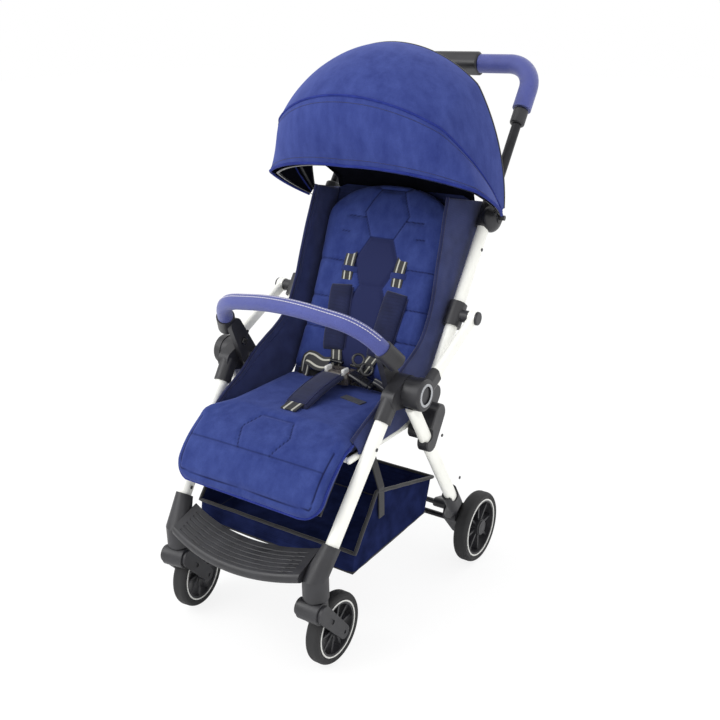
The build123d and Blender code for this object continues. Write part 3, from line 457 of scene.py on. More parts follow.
def cornerCut(left, corner):
    # how much a round corner takes off a half width, left millimetres before the end
    if left >= corner:
        return 0.0
    return corner - math.sqrt(max(0.0, corner**2 - (corner - left) ** 2))


def along(path, t):
    # a point at share t of a list of points, by length
    lengths = [0.0]
    for a, b in zip(path, path[1:]):
        lengths.append(lengths[-1] + math.dist(a, b))
    goal = t * lengths[-1]
    for i in range(len(path) - 1):
        if goal <= lengths[i + 1] or i == len(path) - 2:
            share = (goal - lengths[i]) / max(1e-9, lengths[i + 1] - lengths[i])
            return [p + (q - p) * share for p, q in zip(path[i], path[i + 1])]


def rounded(path):
    # cut the corners of a list of points twice, keeping its ends
    for _ in range(2):
        new = [path[0]]
        for a, b in zip(path, path[1:]):
            new.append([p * 0.75 + q * 0.25 for p, q in zip(a, b)])
            new.append([p * 0.25 + q * 0.75 for p, q in zip(a, b)])
        new.append(path[-1])
        path = new
    return path


def distanceToLines(points, lines):
    # how far flat points are from the nearest of some drawn lines
    best = np.full(len(points), 1e9)
    for line in lines:
        for a, b in zip(line, line[1:]):
            a, b = np.array(a, float), np.array(b, float)
            run = b - a
            t = np.clip(((points - a) @ run) / max(1e-9, run @ run), 0, 1)
            best = np.minimum(best, np.linalg.norm(points - (a + t[:, None] * run), axis=1))
    return best


def setAttribute(piece, name, values):
    attribute = piece.data.attributes.new(name, "FLOAT", "POINT")
    attribute.data.foreach_set("value", np.asarray(values, np.float32))


def hexagon(x, y, halfWide, halfHigh, flat):
    return [(x - halfWide, y), (x - flat, y + halfHigh), (x + flat, y + halfHigh), (x + halfWide, y),
            (x + flat, y - halfHigh), (x - flat, y - halfHigh), (x - halfWide, y)]


def insideHexagon(points, x, y, halfWide, halfHigh, flat):
    # signed distance, above zero inside
    dx, dy = np.abs(points[:, 0] - x), np.abs(points[:, 1] - y)
    slope = math.hypot(halfWide - flat, halfHigh)
    edge = (halfHigh * (halfWide - dx) - (halfWide - flat) * dy) / slope
    return np.minimum(halfHigh - dy, edge)


# cloth under pressure, held where the pad is fixed, with a limit on how far it may swell
def swell(piece, hold, settings):
    start = places(piece)
    group = piece.vertex_groups.new(name="hold")
    group.add([int(i) for i in np.nonzero(hold)[0]], 1.0, "REPLACE")
    scene = bpy.context.scene
    scene.frame_set(1)
    modifier = piece.modifiers.new("swell", "CLOTH")
    cloth = modifier.settings
    cloth.quality = 4
    cloth.mass = 0.15
    cloth.tension_stiffness = settings["stiff"]
    cloth.compression_stiffness = settings["stiff"]
    cloth.bending_stiffness = 0.3
    cloth.use_pressure = True
    cloth.uniform_pressure_force = settings["pressure"]
    cloth.effector_weights.gravity = 0
    cloth.vertex_group_mass = "hold"
    modifier.collision_settings.use_collision = False
    modifier.point_cache.frame_start = 1
    modifier.point_cache.frame_end = settings["frames"]
    for step in range(1, settings["frames"] + 1):
        scene.frame_set(step)
    shaped = piece.evaluated_get(bpy.context.evaluated_depsgraph_get())
    flat = np.zeros(len(shaped.data.vertices) * 3)
    shaped.data.vertices.foreach_get("co", flat)
    piece.modifiers.remove(modifier)
    piece.vertex_groups.clear()
    moved = flat.reshape(-1, 3) - start
    length = np.linalg.norm(moved, axis=1, keepdims=True)
    limit = settings["cap"] * mm
    moved *= np.minimum(1.0, limit / np.maximum(length, 1e-9))
    setPlaces(piece, start + moved)
    scene.frame_set(1)
    most = np.linalg.norm(moved, axis=1).max() / mm
    print("swelled", piece.name, "by up to", round(float(most), 1), "mm")


# the hood: one curved sheet in two sewn parts, the panel and the visor
hoodSet = {
    "panel": ((227.0, 20.0), (226.0, 95.0), (180.0, 250.0), (128.0, 290.0), (0.0, 325.0)),
    "hem": ((229.0, 20.0), (243.0, 90.0), (234.0, 160.0), (120.0, 227.0), (0.0, 237.0)),
    "back": 98.0, "seam": 133.0, "front": 152.0, "cloth": 2.2, "curtain": 22.0, "curtainHalf": 158.0,
    "curtainSpread": 214.0, "puff": 6.5, "belly": 7.0, "lift": 1.5, "panelReach": 326.0, "visorReach": 300.0,
}


def circleArc(a, b, c, count):
    ax, ay = a
    bx, by = b
    cx, cy = c
    d = 2 * (ax * (by - cy) + bx * (cy - ay) + cx * (ay - by))
    ux = ((ax**2 + ay**2) * (by - cy) + (bx**2 + by**2) * (cy - ay) + (cx**2 + cy**2) * (ay - by)) / d
    uy = ((ax**2 + ay**2) * (cx - bx) + (bx**2 + by**2) * (ax - cx) + (cx**2 + cy**2) * (bx - ax)) / d
    radius = math.hypot(ax - ux, ay - uy)
    angles = [math.atan2(p[1] - uy, p[0] - ux) for p in (a, b, c)]
    for i in (1, 2):
        while angles[i] - angles[i - 1] > math.pi:
            angles[i] -= 2 * math.pi
        while angles[i] - angles[i - 1] < -math.pi:
            angles[i] += 2 * math.pi
    first, last = angles[0], angles[2]
    return [(ux + radius * math.cos(first + (last - first) * i / count),
             uy + radius * math.sin(first + (last - first) * i / count)) for i in range(count + 1)]


def hoodHalf(shape):
    lower = circleArc(shape[0], shape[1], shape[2], 24)
    upper = circleArc(shape[2], shape[3], shape[4], 24)
    return lower + upper[1:]


panelHalf = hoodHalf(hoodSet["panel"])
hemHalf = hoodHalf(hoodSet["hem"])


def hoodAt(half, u, insetMm=0.0):
    # u runs 0 to 1 from the left pivot over the crown to the right one
    side = -1.0 if u < 0.5 else 1.0
    share = 1 - abs(u - 0.5) * 2
    x, reach = along(half, share)
    middle = Vector((0.0, 90.0))
    pull = (middle - Vector((x, reach))).normalized() * insetMm
    return side * (x + pull.x), reach + pull.y


def hoodPlace(x, reach, turnDeg):
    turn = math.radians(turnDeg)
    return Vector((x * mm, hoodPivot.y + reach * mm * math.cos(turn),
                   hoodPivot.z + reach * mm * math.sin(turn)))


def panelPoint(u, v, insetMm=0.0):
    turn = hoodSet["back"] + (hoodSet["seam"] - hoodSet["back"]) * v
    x, reach = hoodAt(panelHalf, u, insetMm)
    crown = math.sin(math.pi * u)
    puff = hoodSet["puff"] * math.sin(math.pi * v) ** 0.7 * crown
    fold = 1.6 * noise.noise(Vector((u * 9.0, v * 3.0, 1.7))) * crown * math.sin(math.pi * v)
    scale = 1 + (puff + fold + hoodSet["lift"] * crown) / hoodSet["panelReach"]
    return hoodPlace(x * (1 + (scale - 1) * 0.4), reach * scale, turn)


def visorPoint(u, v, insetMm=0.0):
    turn = hoodSet["seam"] + (hoodSet["front"] - hoodSet["seam"]) * v
    a = hoodAt(panelHalf, u, insetMm)
    b = hoodAt(hemHalf, u, insetMm)
    x = a[0] + (b[0] - a[0]) * v
    reach = a[1] + (b[1] - a[1]) * v
    crown = math.sin(math.pi * u)
    belly = hoodSet["belly"] * math.sin(math.pi * v) ** 0.8 * crown
    fold = 2.2 * noise.noise(Vector((u * 7.0, v * 1.6, 5.2))) * crown * math.sin(math.pi * v)
    scale = 1 + (belly + fold + hoodSet["lift"] * crown) / hoodSet["visorReach"]
    return hoodPlace(x * (1 + (scale - 1) * 0.5), reach * scale, turn)


def curtainPoint(u, v):
    # the cloth behind the head, from the arch down behind the top of the pad
    low = hoodSet["curtain"]
    x, reach = hoodAt(panelHalf, 0.02 + 0.96 * u, 3.0)
    spread = (u - 0.5) * 2 * hoodSet["curtainSpread"]
    ripple = 1.5 * noise.noise(Vector((u * 5, v * 4, 8.1)))
    sag = 6.0 * math.sin(math.pi * u) * math.sin(math.pi * v) + ripple
    high = low + (max(low, reach) - low) * v
    limit = hoodSet["curtainHalf"] + 1.7 * max(0.0, high - 55.0)
    wide = spread + (x - spread) * v
    place = hoodPlace(math.copysign(min(abs(wide), limit), wide), high, hoodSet["back"] + 0.5)
    return place + Vector((0, (sag + 12.0 * (1 - v) ** 2) * mm, 0))


def makeHood():
    panel = addGrid("hoodPanel", 96, 60, panelPoint)
    visor = addGrid("hoodVisor", 96, 34, visorPoint)
    for piece in (panel, visor):
        mendMesh(piece)
        middle = piece.data.polygons[len(piece.data.polygons) // 2]
        outward = Vector(middle.center) - Vector((0, hoodPivot.y, hoodPivot.z))
        if middle.normal.dot(outward) < 0:
            piece.data.flip_normals()
        paint(piece, "hood", "lining")
        applyModifier(piece, "SUBSURF", levels=1, render_levels=1)
        applyModifier(piece, "SOLIDIFY", thickness=hoodSet["cloth"] * mm, offset=-1.0, material_offset=1,
                      material_offset_rim=0)
        smooth(piece, 50)
    steps = [i / 120 for i in range(121)]
    seam = tubeAlong("hoodSeamPiping", [panelPoint(u, 1.0) for u in steps], 2.6, "piping")
    hem = tubeAlong("hoodHemPiping", [visorPoint(u, 1.0) for u in steps], 3.0, "piping")
    rear = tubeAlong("hoodRearBinding", [panelPoint(u, 0.0, 1.2) for u in steps], 2.6, "binding")
    seamStitch, hemStitch = [
        tubeAlong(name, [visorPoint(u, v, -0.1) for u in steps], 0.5, "blueThread", sides=1)
        for name, v in (("hoodSeamStitch", 0.10), ("hoodHemStitch", 0.90))]
    curtain = addGrid("hoodCurtain", 48, 40, curtainPoint)
    mendMesh(curtain)
    applyModifier(curtain, "SOLIDIFY", thickness=1.6 * mm, offset=0.0)
    smooth(curtain, 50)
    paint(curtain, "lining")
    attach(curtain, "upright")
    rearMiddle = panelPoint(0.5, 0.0)
    seamMiddle = panelPoint(0.5, 1.0)
    hemMiddle = visorPoint(0.5, 1.0)
    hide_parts("canopy_panel")
    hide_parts("canopy_visor")
    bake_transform(panel)
    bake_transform(visor)
    for piece, body in ((seam, "canopy_mid"), (hem, "canopy_front"), (rear, "upright"),
                        (seamStitch, "canopy_mid"), (hemStitch, "canopy_front")):
        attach(piece, body)
    print("hood made")


makeHood()


# the seat liner: one quilted pad over the seat, the knee and the leg rest
linerSet = {
    "rear": 244.0, "end": 122.0, "seatHalf": 149.0, "legHalf": 164.0, "corner": 40.0, "rearCorner": 5.0,
    "bulge": 10.0, "edge": 20.0, "top": 36.0, "under": 4.2, "across": 100, "along": 130,
    "seamDepth": 3.4, "seamWide": 4.2, "pressure": 3.0, "stiff": 12.0, "frames": 14, "cap": 6.0,
}


def linerPath(up):
    # points from the seat's rear to the foot of the leg rest, at a height over the hinge plane
    points = [onSeat(0, linerSet["rear"] * (1 - i / 24), up) for i in range(25)]
    for i in range(1, 12):
        turn = seatSlope + (legDrop - seatSlope) * i / 12
        points.append(Vector((0, legHinge.y - up * mm * math.sin(turn),
                              legHinge.z + up * mm * math.cos(turn))))
    for i in range(25):
        crown = linerSet["bulge"] * math.sin(math.pi * i / 24) if up > 20 else 0.0  # the shin pad is fuller
        points.append(onLegRest(0, linerSet["end"] * i / 24, up + crown))
    return points


linerTop = linerPath(linerSet["top"])
linerUnder = linerPath(linerSet["under"])
linerMiddle = linerPath((linerSet["top"] + linerSet["under"]) / 2)
linerLength = sum((b - a).length for a, b in zip(linerTop, linerTop[1:])) / mm


def linerHalf(share):
    # half width along the pad, with round corners at its ends
    wider = (linerSet["legHalf"] - linerSet["seatHalf"]) * smoothStep(0.46, 0.66, share)
    foot = cornerCut((1 - share) * linerLength, linerSet["corner"])
    rear = cornerCut(share * linerLength, linerSet["rearCorner"])
    return linerSet["seatHalf"] + wider - foot - rear


def linerSkin(u, share, side):
    half = linerHalf(share)
    x = (u - 0.5) * 2 * half
    ends = min(share, 1 - share) * linerLength
    full = roundEdge(half - abs(x), linerSet["edge"]) * roundEdge(ends, linerSet["edge"])
    middle = Vector(along(linerMiddle, share))
    outer = Vector(along(linerTop if side > 0 else linerUnder, share))
    place = middle.lerp(outer, full)
    place.x = x * mm
    return place


def linerSeams():
    # the stitched lines, as x and distance from the seat's rear in millimetres
    knee = linerSet["rear"]
    cross = linerLength - 82.0
    border = 13.0
    foot = linerLength - border
    halfFoot = linerSet["legHalf"] - border
    outline = rounded([(-halfFoot, knee + 32), (-halfFoot, foot - 6), (-halfFoot + 8, foot),
                       (halfFoot - 8, foot), (halfFoot, foot - 6), (halfFoot, knee + 32)])
    hexTop = cross - 86.0
    shape = [(-36, cross), (-54, cross - 43), (-36, hexTop), (36, hexTop), (54, cross - 43), (36, cross)]
    return [[(-halfFoot, cross), (halfFoot, cross)], shape, outline]


def makeLiner():
    pad = cushion("seatLiner", linerSet["across"], linerSet["along"], lambda u, v: linerSkin(u, v, 1),
                  lambda u, v: linerSkin(u, v, -1))
    points = places(pad)
    under = np.array([Vector(p) for p in linerUnder])
    gap = np.min(np.linalg.norm(points[:, None, 1:] - under[None, :, 1:], axis=2), axis=1)
    swell(pad, gap < 6 * mm, linerSet)
    # sewn lines press the top in, and the wide fields between keep their crown
    points = places(pad)
    path = np.array([Vector(p) for p in linerTop])
    steps = np.concatenate([[0], np.cumsum(np.linalg.norm(np.diff(path, axis=0), axis=1))]) / mm
    gapTop = np.linalg.norm(points[:, None, 1:] - path[None, :, 1:], axis=2)
    nearest = np.argmin(gapTop, axis=1)
    flat = np.stack([points[:, 0] / mm, steps[nearest]], axis=1)
    run = np.gradient(path, axis=0)
    run /= np.linalg.norm(run, axis=1)[:, None]
    offset = np.einsum("ij,ij->i", points - path[nearest], run[nearest])
    flat[:, 1] += offset / mm
    onTop = gapTop[np.arange(len(points)), nearest] < 14 * mm
    away = distanceToLines(flat, linerSeams())
    press = np.exp(-(away / linerSet["seamWide"]) ** 2) * onTop
    lift = np.stack([np.zeros(len(points)), -run[nearest][:, 2], run[nearest][:, 1]], axis=1)
    lift *= np.sign(lift[:, 2:3] + 1e-9)
    points -= lift * (press * linerSet["seamDepth"] * mm)[:, None]
    setPlaces(pad, points)
    # the seam mask drives painted shade along the pressed seam creases
    setAttribute(pad, "seam", np.exp(-(away / 1.6) ** 2) * onTop)
    setAttribute(pad, "patch", np.full(len(points), -5.0))
    smooth(pad)
    paint(pad, "royal")
    # the piping runs down one side from the knee, round the foot and up the other side
    border = [linerSkin(0.0, 0.5 + i / 180, 1) for i in range(90)]
    border += [linerSkin(1.0, 1.0 - i / 180, 1) for i in range(91)]
    piping = tubeAlong("legRestPiping", border, 2.4, "piping")
    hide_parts("seat_pad", "leg_rest_pad")
    for piece in (pad, piping):
        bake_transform(piece)
        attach(piece, "front_frame")
    print("seat liner made,", len(pad.data.polygons), "faces, length", round(linerLength), "mm")


makeLiner()


# the back pad: arched top, hexagons down the middle and short seams at the sides
backSet = {
    "low": 34.0, "high": 437.0, "half": 146.0, "top": 28.0, "under": 3.6, "across": 104, "along": 136,
    "seamDepth": 3.6, "seamWide": 4.6, "hexX": 52.0, "hexY": 50.0, "hexFlat": 27.0, "hexMiddle": 273.5,
    "pressure": 3.0, "stiff": 12.0, "frames": 14, "cap": 6.0, "edge": 16.0, "arch": 92.0,
    "coverLow": -2.0, "coverHigh": 436.0, "coverHalf": 164.0, "coverCorner": 26.0, "coverUp": -8.0,
    "sideSeams": ((330, 80, 98), (268, 76, 150), (190, 92, 138), (125, 60, 150), (363, 46, 88)),
}


def backSkin(u, v, side):
    x = (u - 0.5) * 2
    arch = backSet["arch"] * (1 - math.sqrt(max(0.0, 1 - abs(x) ** 2.4)))
    high = backSet["high"] - arch
    waist = 1 - 0.035 * math.sin(math.pi * v)
    y = backSet["low"] + (high - backSet["low"]) * v
    half = backSet["half"] * waist
    full = roundEdge((1 - abs(x)) * half, backSet["edge"])
    full *= roundEdge(min(v, 1 - v) * (high - backSet["low"]), backSet["edge"])
    middle = backSet["top"] * 0.45 + backSet["under"] * 0.55
    outer = backSet["top"] if side > 0 else backSet["under"]
    wing = 5.0 * smoothStep(0.72, 1.0, abs(x)) if side > 0 else 0.0
    return onBack(x * half, y, middle + (outer + wing - middle) * full)


def makeBackPad():
    pad = cushion("backPad", backSet["across"], backSet["along"], lambda u, v: backSkin(u, v, 1),
                  lambda u, v: backSkin(u, v, -1))
    outward = np.array(onBack(0, 0, 1000) - backHinge)
    upwards = np.array(onBack(0, 1000, 0) - backHinge)
    swell(pad, (places(pad) - np.array(backHinge)) @ outward < 6 * mm, backSet)
    points = places(pad)
    local = points - np.array(backHinge)
    height = local @ outward / mm
    flat = np.stack([points[:, 0] / mm, local @ upwards / mm], axis=1)
    step = 2 * backSet["hexY"]
    middle = backSet["hexMiddle"]
    size = backSet["hexX"], backSet["hexY"], backSet["hexFlat"]
    lines = [hexagon(0, y, *size) for y in (middle + step, middle, middle - step)]
    for side in (-1, 1):
        for y, near, far in backSet["sideSeams"]:
            lines.append([(side * near, y), (side * far, y)])
        lines.append([(side * 50, middle - 2 * step + backSet["hexY"]), (side * 50, 44)])
        lines.append([(side * backSet["hexFlat"], middle + step + backSet["hexY"]), (side * 40, 430)])
    onTop = height > backSet["top"] * 0.5
    away = distanceToLines(flat, lines)
    press = np.exp(-(away / backSet["seamWide"]) ** 2) * onTop
    points -= outward[None, :] * (press * backSet["seamDepth"] * mm)[:, None]
    setPlaces(pad, points)
    # the seam mask drives painted shade along the pressed seam creases
    setAttribute(pad, "seam", np.exp(-(away / 1.7) ** 2) * onTop)
    navy = np.maximum(insideHexagon(flat, 0, middle, *size), insideHexagon(flat, 0, middle - step, *size))
    low = np.minimum(middle - step - flat[:, 1], backSet["hexX"] - np.abs(flat[:, 0]))
    setAttribute(pad, "patch", np.maximum(navy, low))
    smooth(pad)
    paint(pad, "royal")
    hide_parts("backrest_pad")
    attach(pad, "backrest")

    def coverAt(u, v):
        left = (1 - v) * (backSet["coverHigh"] - backSet["coverLow"])
        half = backSet["coverHalf"] - cornerCut(left, backSet["coverCorner"])
        ripple = 0.8 * noise.noise(Vector((u * 5, v * 6, 2.2)))
        return onBack((u - 0.5) * 2 * half, backSet["coverHigh"] - left, backSet["coverUp"] + ripple)

    cover = addGrid("backCover", 40, 50, coverAt)
    mendMesh(cover)
    applyModifier(cover, "SOLIDIFY", thickness=1.6 * mm, offset=0.0)
    smooth(cover, 50)
    paint(cover, "wall")
    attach(cover, "backrest")
    print("back pad made,", len(pad.data.polygons), "faces")


makeBackPad()


# the navy walls beside the seat: padded cloth with an edging
wallSet = {
    "thick": 5.0, "coverThick": 2.0, "low": 153.0, "flare": 10.0, "across": 26, "along": 70, "outer": 171.0,
    "tubeLean": 0.737,
    "free": ((-262, 400), (-238, 414), (-178, 440), (-132, 473), (-36, 511), (6, 575), (30, 648), (58, 722),
             (78, 768)),
}


def wallEdges():
    seatLow = [(onSeat(0, y, 6).y, onSeat(0, y, 6).z) for y in (18, 228)]
    backLow = [(onBack(0, y, -2).y, onBack(0, y, -2).z) for y in (60, 424)]
    # the cover reaches back beside the upright tube, which leans back as it rises
    tube = [(inFrame(0, -10 + (z - 440) * wallSet["tubeLean"], z).y, z * mm) for z in (480, 740)]
    front = [(y * mm + shiftY, z * mm) for y, z in wallSet["free"]]
    return rounded(seatLow + backLow), rounded(front), rounded(seatLow + tube)


def wallFlare(v):
    return wallSet["flare"] * math.sin(math.pi * min(1.0, v * 0.9 + 0.1))


def makeWalls():
    rear, front, behind = wallEdges()
    for side, name in ((1, "wallRight"), (-1, "wallLeft")):

        def between(u, v, path, x):
            a = along(path, v)
            b = along(front, v)
            ripple = 1.2 * noise.noise(Vector((u * 3, v * 9, 3.0 + side)))
            return Vector((side * (x + ripple) * mm, a[0] + (b[0] - a[0]) * u, a[1] + (b[1] - a[1]) * u))

        def inner(u, v):
            bow = math.sin(math.pi * u) * 2.5 + u ** 1.6 * wallFlare(v)
            return between(u, v, rear, wallSet["low"] + bow)

        def outer(u, v):
            tip = wallSet["low"] + wallFlare(v) + 2.0
            bow = 3.0 * math.sin(math.pi * u)
            return between(u, v, behind, wallSet["outer"] + (tip - wallSet["outer"]) * u + bow)

        wall = addGrid(name, wallSet["across"], wallSet["along"], inner)
        cover = addGrid(name + "Cover", wallSet["across"], wallSet["along"], outer)
        for piece, thick in ((wall, wallSet["thick"]), (cover, wallSet["coverThick"])):
            mendMesh(piece)
            applyModifier(piece, "SOLIDIFY", thickness=thick * mm, offset=0.0)
            applyModifier(piece, "SUBSURF", levels=1, render_levels=1)
            smooth(piece)
            paint(piece, "wall")
        rim = tubeAlong(name + "Edging", [inner(1.0, i / 90) for i in range(91)], 3.6, "edge")
        aside = Vector((-side * 2.6 * mm, 0, 0))
        line = [inner(0.86, i / 90) + aside for i in range(91)]
        stitch = tubeAlong(name + "Stitch", line, 0.8, "blueThread", sides=1)
        if side > 0:
            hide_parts("side_walls")
        for piece in (wall, cover, rim, stitch):
            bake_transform(piece)
    print("side walls made")


makeWalls()


# the basket: an open bag of navy cloth that sags, with black binding
basketSet = {"half": 184.0, "floor": 163.0, "cuts": 26, "cloth": 2.6, "sag": 5.0}


def basketRim(y):
    if y < -225:
        return 202 + (292 - 202) * (y + 298) / 73.0
    return 292 + (231 - 292) * (y + 225) / 203.0


def basketPoint(a, b, c):
    floorY = -306 + 260 * b
    rimY = -298 + 276 * b
    y = floorY + (rimY - floorY) * c
    top = basketRim(rimY)
    z = basketSet["floor"] + (top - basketSet["floor"]) * c
    x = (a - 0.5) * 2 * basketSet["half"]
    droop = basketSet["sag"] * math.sin(math.pi * a) * math.sin(math.pi * b) * (1 - c)
    tuck = 4.0 * math.sin(math.pi * c) * math.sin(math.pi * b)
    ripple = 1.5 * noise.noise(Vector((a * 6, b * 6, c * 4)))
    if a in (0.0, 1.0):
        x -= math.copysign(tuck + abs(ripple), x)
    if b in (0.0, 1.0):
        y += (1 if b == 0.0 else -1) * (3.0 * math.sin(math.pi * a) * math.sin(math.pi * c) + abs(ripple))
    return inFrame(x, y, z - droop + 1.5)


def basketLoop(count, c):
    # once round the bag at share c of its height
    loop = [basketPoint(1.0, i / count, c) for i in range(count + 1)]
    loop += [basketPoint(1.0 - i / count, 1.0, c) for i in range(1, count)]
    loop += [basketPoint(0.0, 1.0 - i / count, c) for i in range(count + 1)]
    return loop + [basketPoint(i / count, 0.0, c) for i in range(1, count)]


def makeBasket():
    bpy.ops.mesh.primitive_cube_add(size=1.0)
    bag = named("basketBag")
    bpy.ops.object.mode_set(mode="EDIT")
    bpy.ops.mesh.select_all(action="SELECT")
    bpy.ops.mesh.subdivide(number_cuts=basketSet["cuts"])
    bpy.ops.mesh.select_all(action="DESELECT")
    bpy.ops.object.mode_set(mode="OBJECT")
    for face in bag.data.polygons:
        face.select = face.center.z > 0.4999
    bpy.ops.object.mode_set(mode="EDIT")
    bpy.ops.mesh.delete(type="FACE")
    bpy.ops.object.mode_set(mode="OBJECT")
    for vertex in bag.data.vertices:
        a, b, c = [round(min(1.0, max(0.0, value + 0.5)), 6) for value in vertex.co]
        vertex.co = basketPoint(a, b, c)
    applyModifier(bag, "SMOOTH", factor=0.5, iterations=4)
    mendMesh(bag)
    applyModifier(bag, "SOLIDIFY", thickness=basketSet["cloth"] * mm, offset=-1.0)
    smooth(bag, 60)
    paint(bag, "bag")
    rim = tubeAlong("basketBinding", basketLoop(60, 1.0), 3.6, "binding", closed=True)
    # the foot's binding lies a little inside the bag and above its floor
    middleY = shiftY - 0.176
    footPath = [Vector((p.x * 0.985, middleY + (p.y - middleY) * 0.98, p.z + 1.5 * mm))
                for p in basketLoop(40, 0.0)]
    foot = tubeAlong("basketFootBinding", footPath, 2.4, "binding", closed=True)
    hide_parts("basket")
    for piece in (bag, rim, foot):
        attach(piece, "front_frame")
    print("basket made")


makeBasket()


# the harness: striped webbing, padded shoulder sleeves, keeper loops and the crotch sleeve
harnessSet = {
    "web": 25.0, "webThick": 2.2, "padWide": 55.0, "padLong": 138.0, "padThick": 13.0, "padX": 59.0,
    "padY": 152.0, "padLean": 6.0, "crotchWide": 58.0, "crotchLong": 126.0, "crotchThick": 14.0,
    "crotchY": 125.0, "crotchRise": 11.5, "lapY": 202,
    # the left lap strap stands up and folds over, the right one hangs from its tongue
    "laps": ((1, "Right", 76, 142, 26.0, (70, 128), 5), (-1, "Left", 24, 104, 44.0, (84, 102), 8)),
}


def sleeve(name, place, wide, long, thick):
    # a soft sleeve: place(x, y, up) takes millimetres on the sleeve's own face
    def skin(u, v, side):
        x = (u - 0.5) * 2
        y = (v - 0.5) * 2
        corner = 1 - 0.10 * abs(y) ** 6
        full = math.sqrt(max(0.0, 1 - abs(x) ** 4)) * math.sqrt(max(0.0, 1 - abs(y) ** 10))
        up = thick * (0.42 + side * 0.42 * full + (0.16 * full if side > 0 else 0.0))
        return place(x * wide / 2 * corner, y * long / 2, up)

    piece = cushion(name, 18, 36, lambda u, v: skin(u, v, 1), lambda u, v: skin(u, v, -1))
    applyModifier(piece, "SUBSURF", levels=1, render_levels=1)
    smooth(piece)
    paint(piece, "navy")
    return piece


def strap(name, path, normal, wider=0.0):
    return ribbon(name, path, normal, harnessSet["web"] + wider, harnessSet["webThick"], "strap")


def makeHarness():
    top = backSet["top"] + 0.8
    backNormal = (onBack(0, 0, 1000) - onBack(0, 0, 0)).normalized()
    for side, name in ((1, "Right"), (-1, "Left")):
        lean = math.radians(harnessSet["padLean"]) * side

        def place(x, y, up):
            turnedX = x * math.cos(lean) + y * math.sin(lean)
            turnedY = -x * math.sin(lean) + y * math.cos(lean)
            return onBack(side * harnessSet["padX"] + turnedX, harnessSet["padY"] + turnedY, top + up)

        wide, thick = harnessSet["padWide"], harnessSet["padThick"]
        pad = sleeve("shoulderPad" + name, place, wide, harnessSet["padLong"], thick)
        edge = [place(wide * 0.495, -62 + i * 4, thick * 0.42) for i in range(32)]
        trim = tubeAlong("shoulderPadEdge" + name, edge, 1.4, "edge")
        path = []
        for y in range(297, 206, -4):
            arch = 5.0 * math.sin(math.pi * min(1, max(0, (297 - y) / 80)))
            path.append(onBack(side * (61 - 0.03 * (297 - y)), y, top + 1.6 + arch))
        upper = strap("shoulderStrap" + name, path, backNormal)
        path = [onBack(side * (46 - (90 - y) * 0.4), y, top + 4.0 + (90 - y) * 0.25)
                for y in range(90, 44, -3)]
        lower = strap("shoulderTail" + name, path, backNormal)
        path = [onBack(side * 60 + x, 253, top + 9.6 - 0.018 * x * x) for x in range(-20, 21, 2)]
        loop = ribbon("strapKeeper" + name, path, backNormal, 11.0, 1.8, "royal")
        for piece in (pad, trim, upper, lower, loop):
            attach(piece, "backrest")
    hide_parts("shoulder_harness")

    seatTop = linerSet["top"] + 0.6
    seatNormal = (onSeat(0, 0, 1000) - onSeat(0, 0, 0)).normalized()
    rise = math.tan(math.radians(harnessSet["crotchRise"]))
    halfLong = harnessSet["crotchLong"] / 2

    def onCrotch(x, y, up):
        bend = 5.0 * math.cos(y / halfLong * math.pi / 2)
        return onSeat(x, harnessSet["crotchY"] + y, seatTop + up + bend + (y + halfLong) * rise)

    crotch = sleeve("crotchSleeve", onCrotch, harnessSet["crotchWide"], harnessSet["crotchLong"],
                    harnessSet["crotchThick"])
    path = [onSeat(0, y, seatTop + 8.0 + (y - 40) * 0.15) for y in range(40, 74, 3)]
    pieces = [crotch, strap("crotchStrap", path, seatNormal, 9)]
    for k, share in enumerate((-0.36, 0.36)):
        line = [onCrotch(share * harnessSet["crotchWide"], -60 + i * 4, 13.4) for i in range(31)]
        pieces.append(tubeAlong("crotchStitch%d" % k, line, 0.7, "blueThread", sides=1))
    for side, name, start, end, high, drop, wider in harnessSet["laps"]:
        path = []
        for x in range(start, end, 4):
            up = high - (high - 4) * smoothStep(*drop, x) + 2 * math.sin(x / 9.0)
            path.append(onSeat(side * x, harnessSet["lapY"] + 22 * smoothStep(36, 120, x), seatTop + up))
        normal = seatNormal if side > 0 else Vector((0, -0.6, 0.8))
        pieces.append(strap("lapStrap" + name, path, normal, wider))
    path = [onSeat(x, 156 - 0.2 * (x - 44), seatTop + 6.5) for x in range(44, 98, 4)]
    pieces.append(ribbon("seatStrapTab", path, seatNormal, 17.0, 2.0, "greyTab"))
    for piece in pieces:
        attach(piece, "front_frame")
        "black_webbing" if "trap" in piece.name else "navy_fabric"
    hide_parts("lap_harness")
    print("harness made")


makeHarness()


# moulded blocks: a cube with its edges rounded, used for the buckle's tongues and slides
def block(name, place, turn, size, edge, key):
    bpy.ops.mesh.primitive_cube_add(size=1.0)
    piece = named(name)
    scale = Matrix.Diagonal((*[s * mm for s in size], 1.0))
    piece.data.transform(Matrix.Translation(place) @ turn.to_4x4() @ scale)
    applyModifier(piece, "BEVEL", width=edge * mm, segments=3)
    smooth(piece, 40)
    paint(piece, key)
    return piece


# rings and caps that look along an axis, for the buckle, the wheels, the rivets and the hubs
def facing(middle, axis):
    return Matrix.Translation(middle) @ Vector((0, 0, 1)).rotation_difference(axis).to_matrix().to_4x4()


def ringAt(name, middle, axis, radiusMm, tubeMm, key):
    bpy.ops.mesh.primitive_torus_add(major_radius=radiusMm * mm, minor_radius=tubeMm * mm, major_segments=96,
                                     minor_segments=10)
    piece = named(name)
    piece.data.transform(facing(middle, axis) @ Matrix.Diagonal((1, 1, 0.6, 1)))
    smooth(piece)
    paint(piece, key)
    return piece


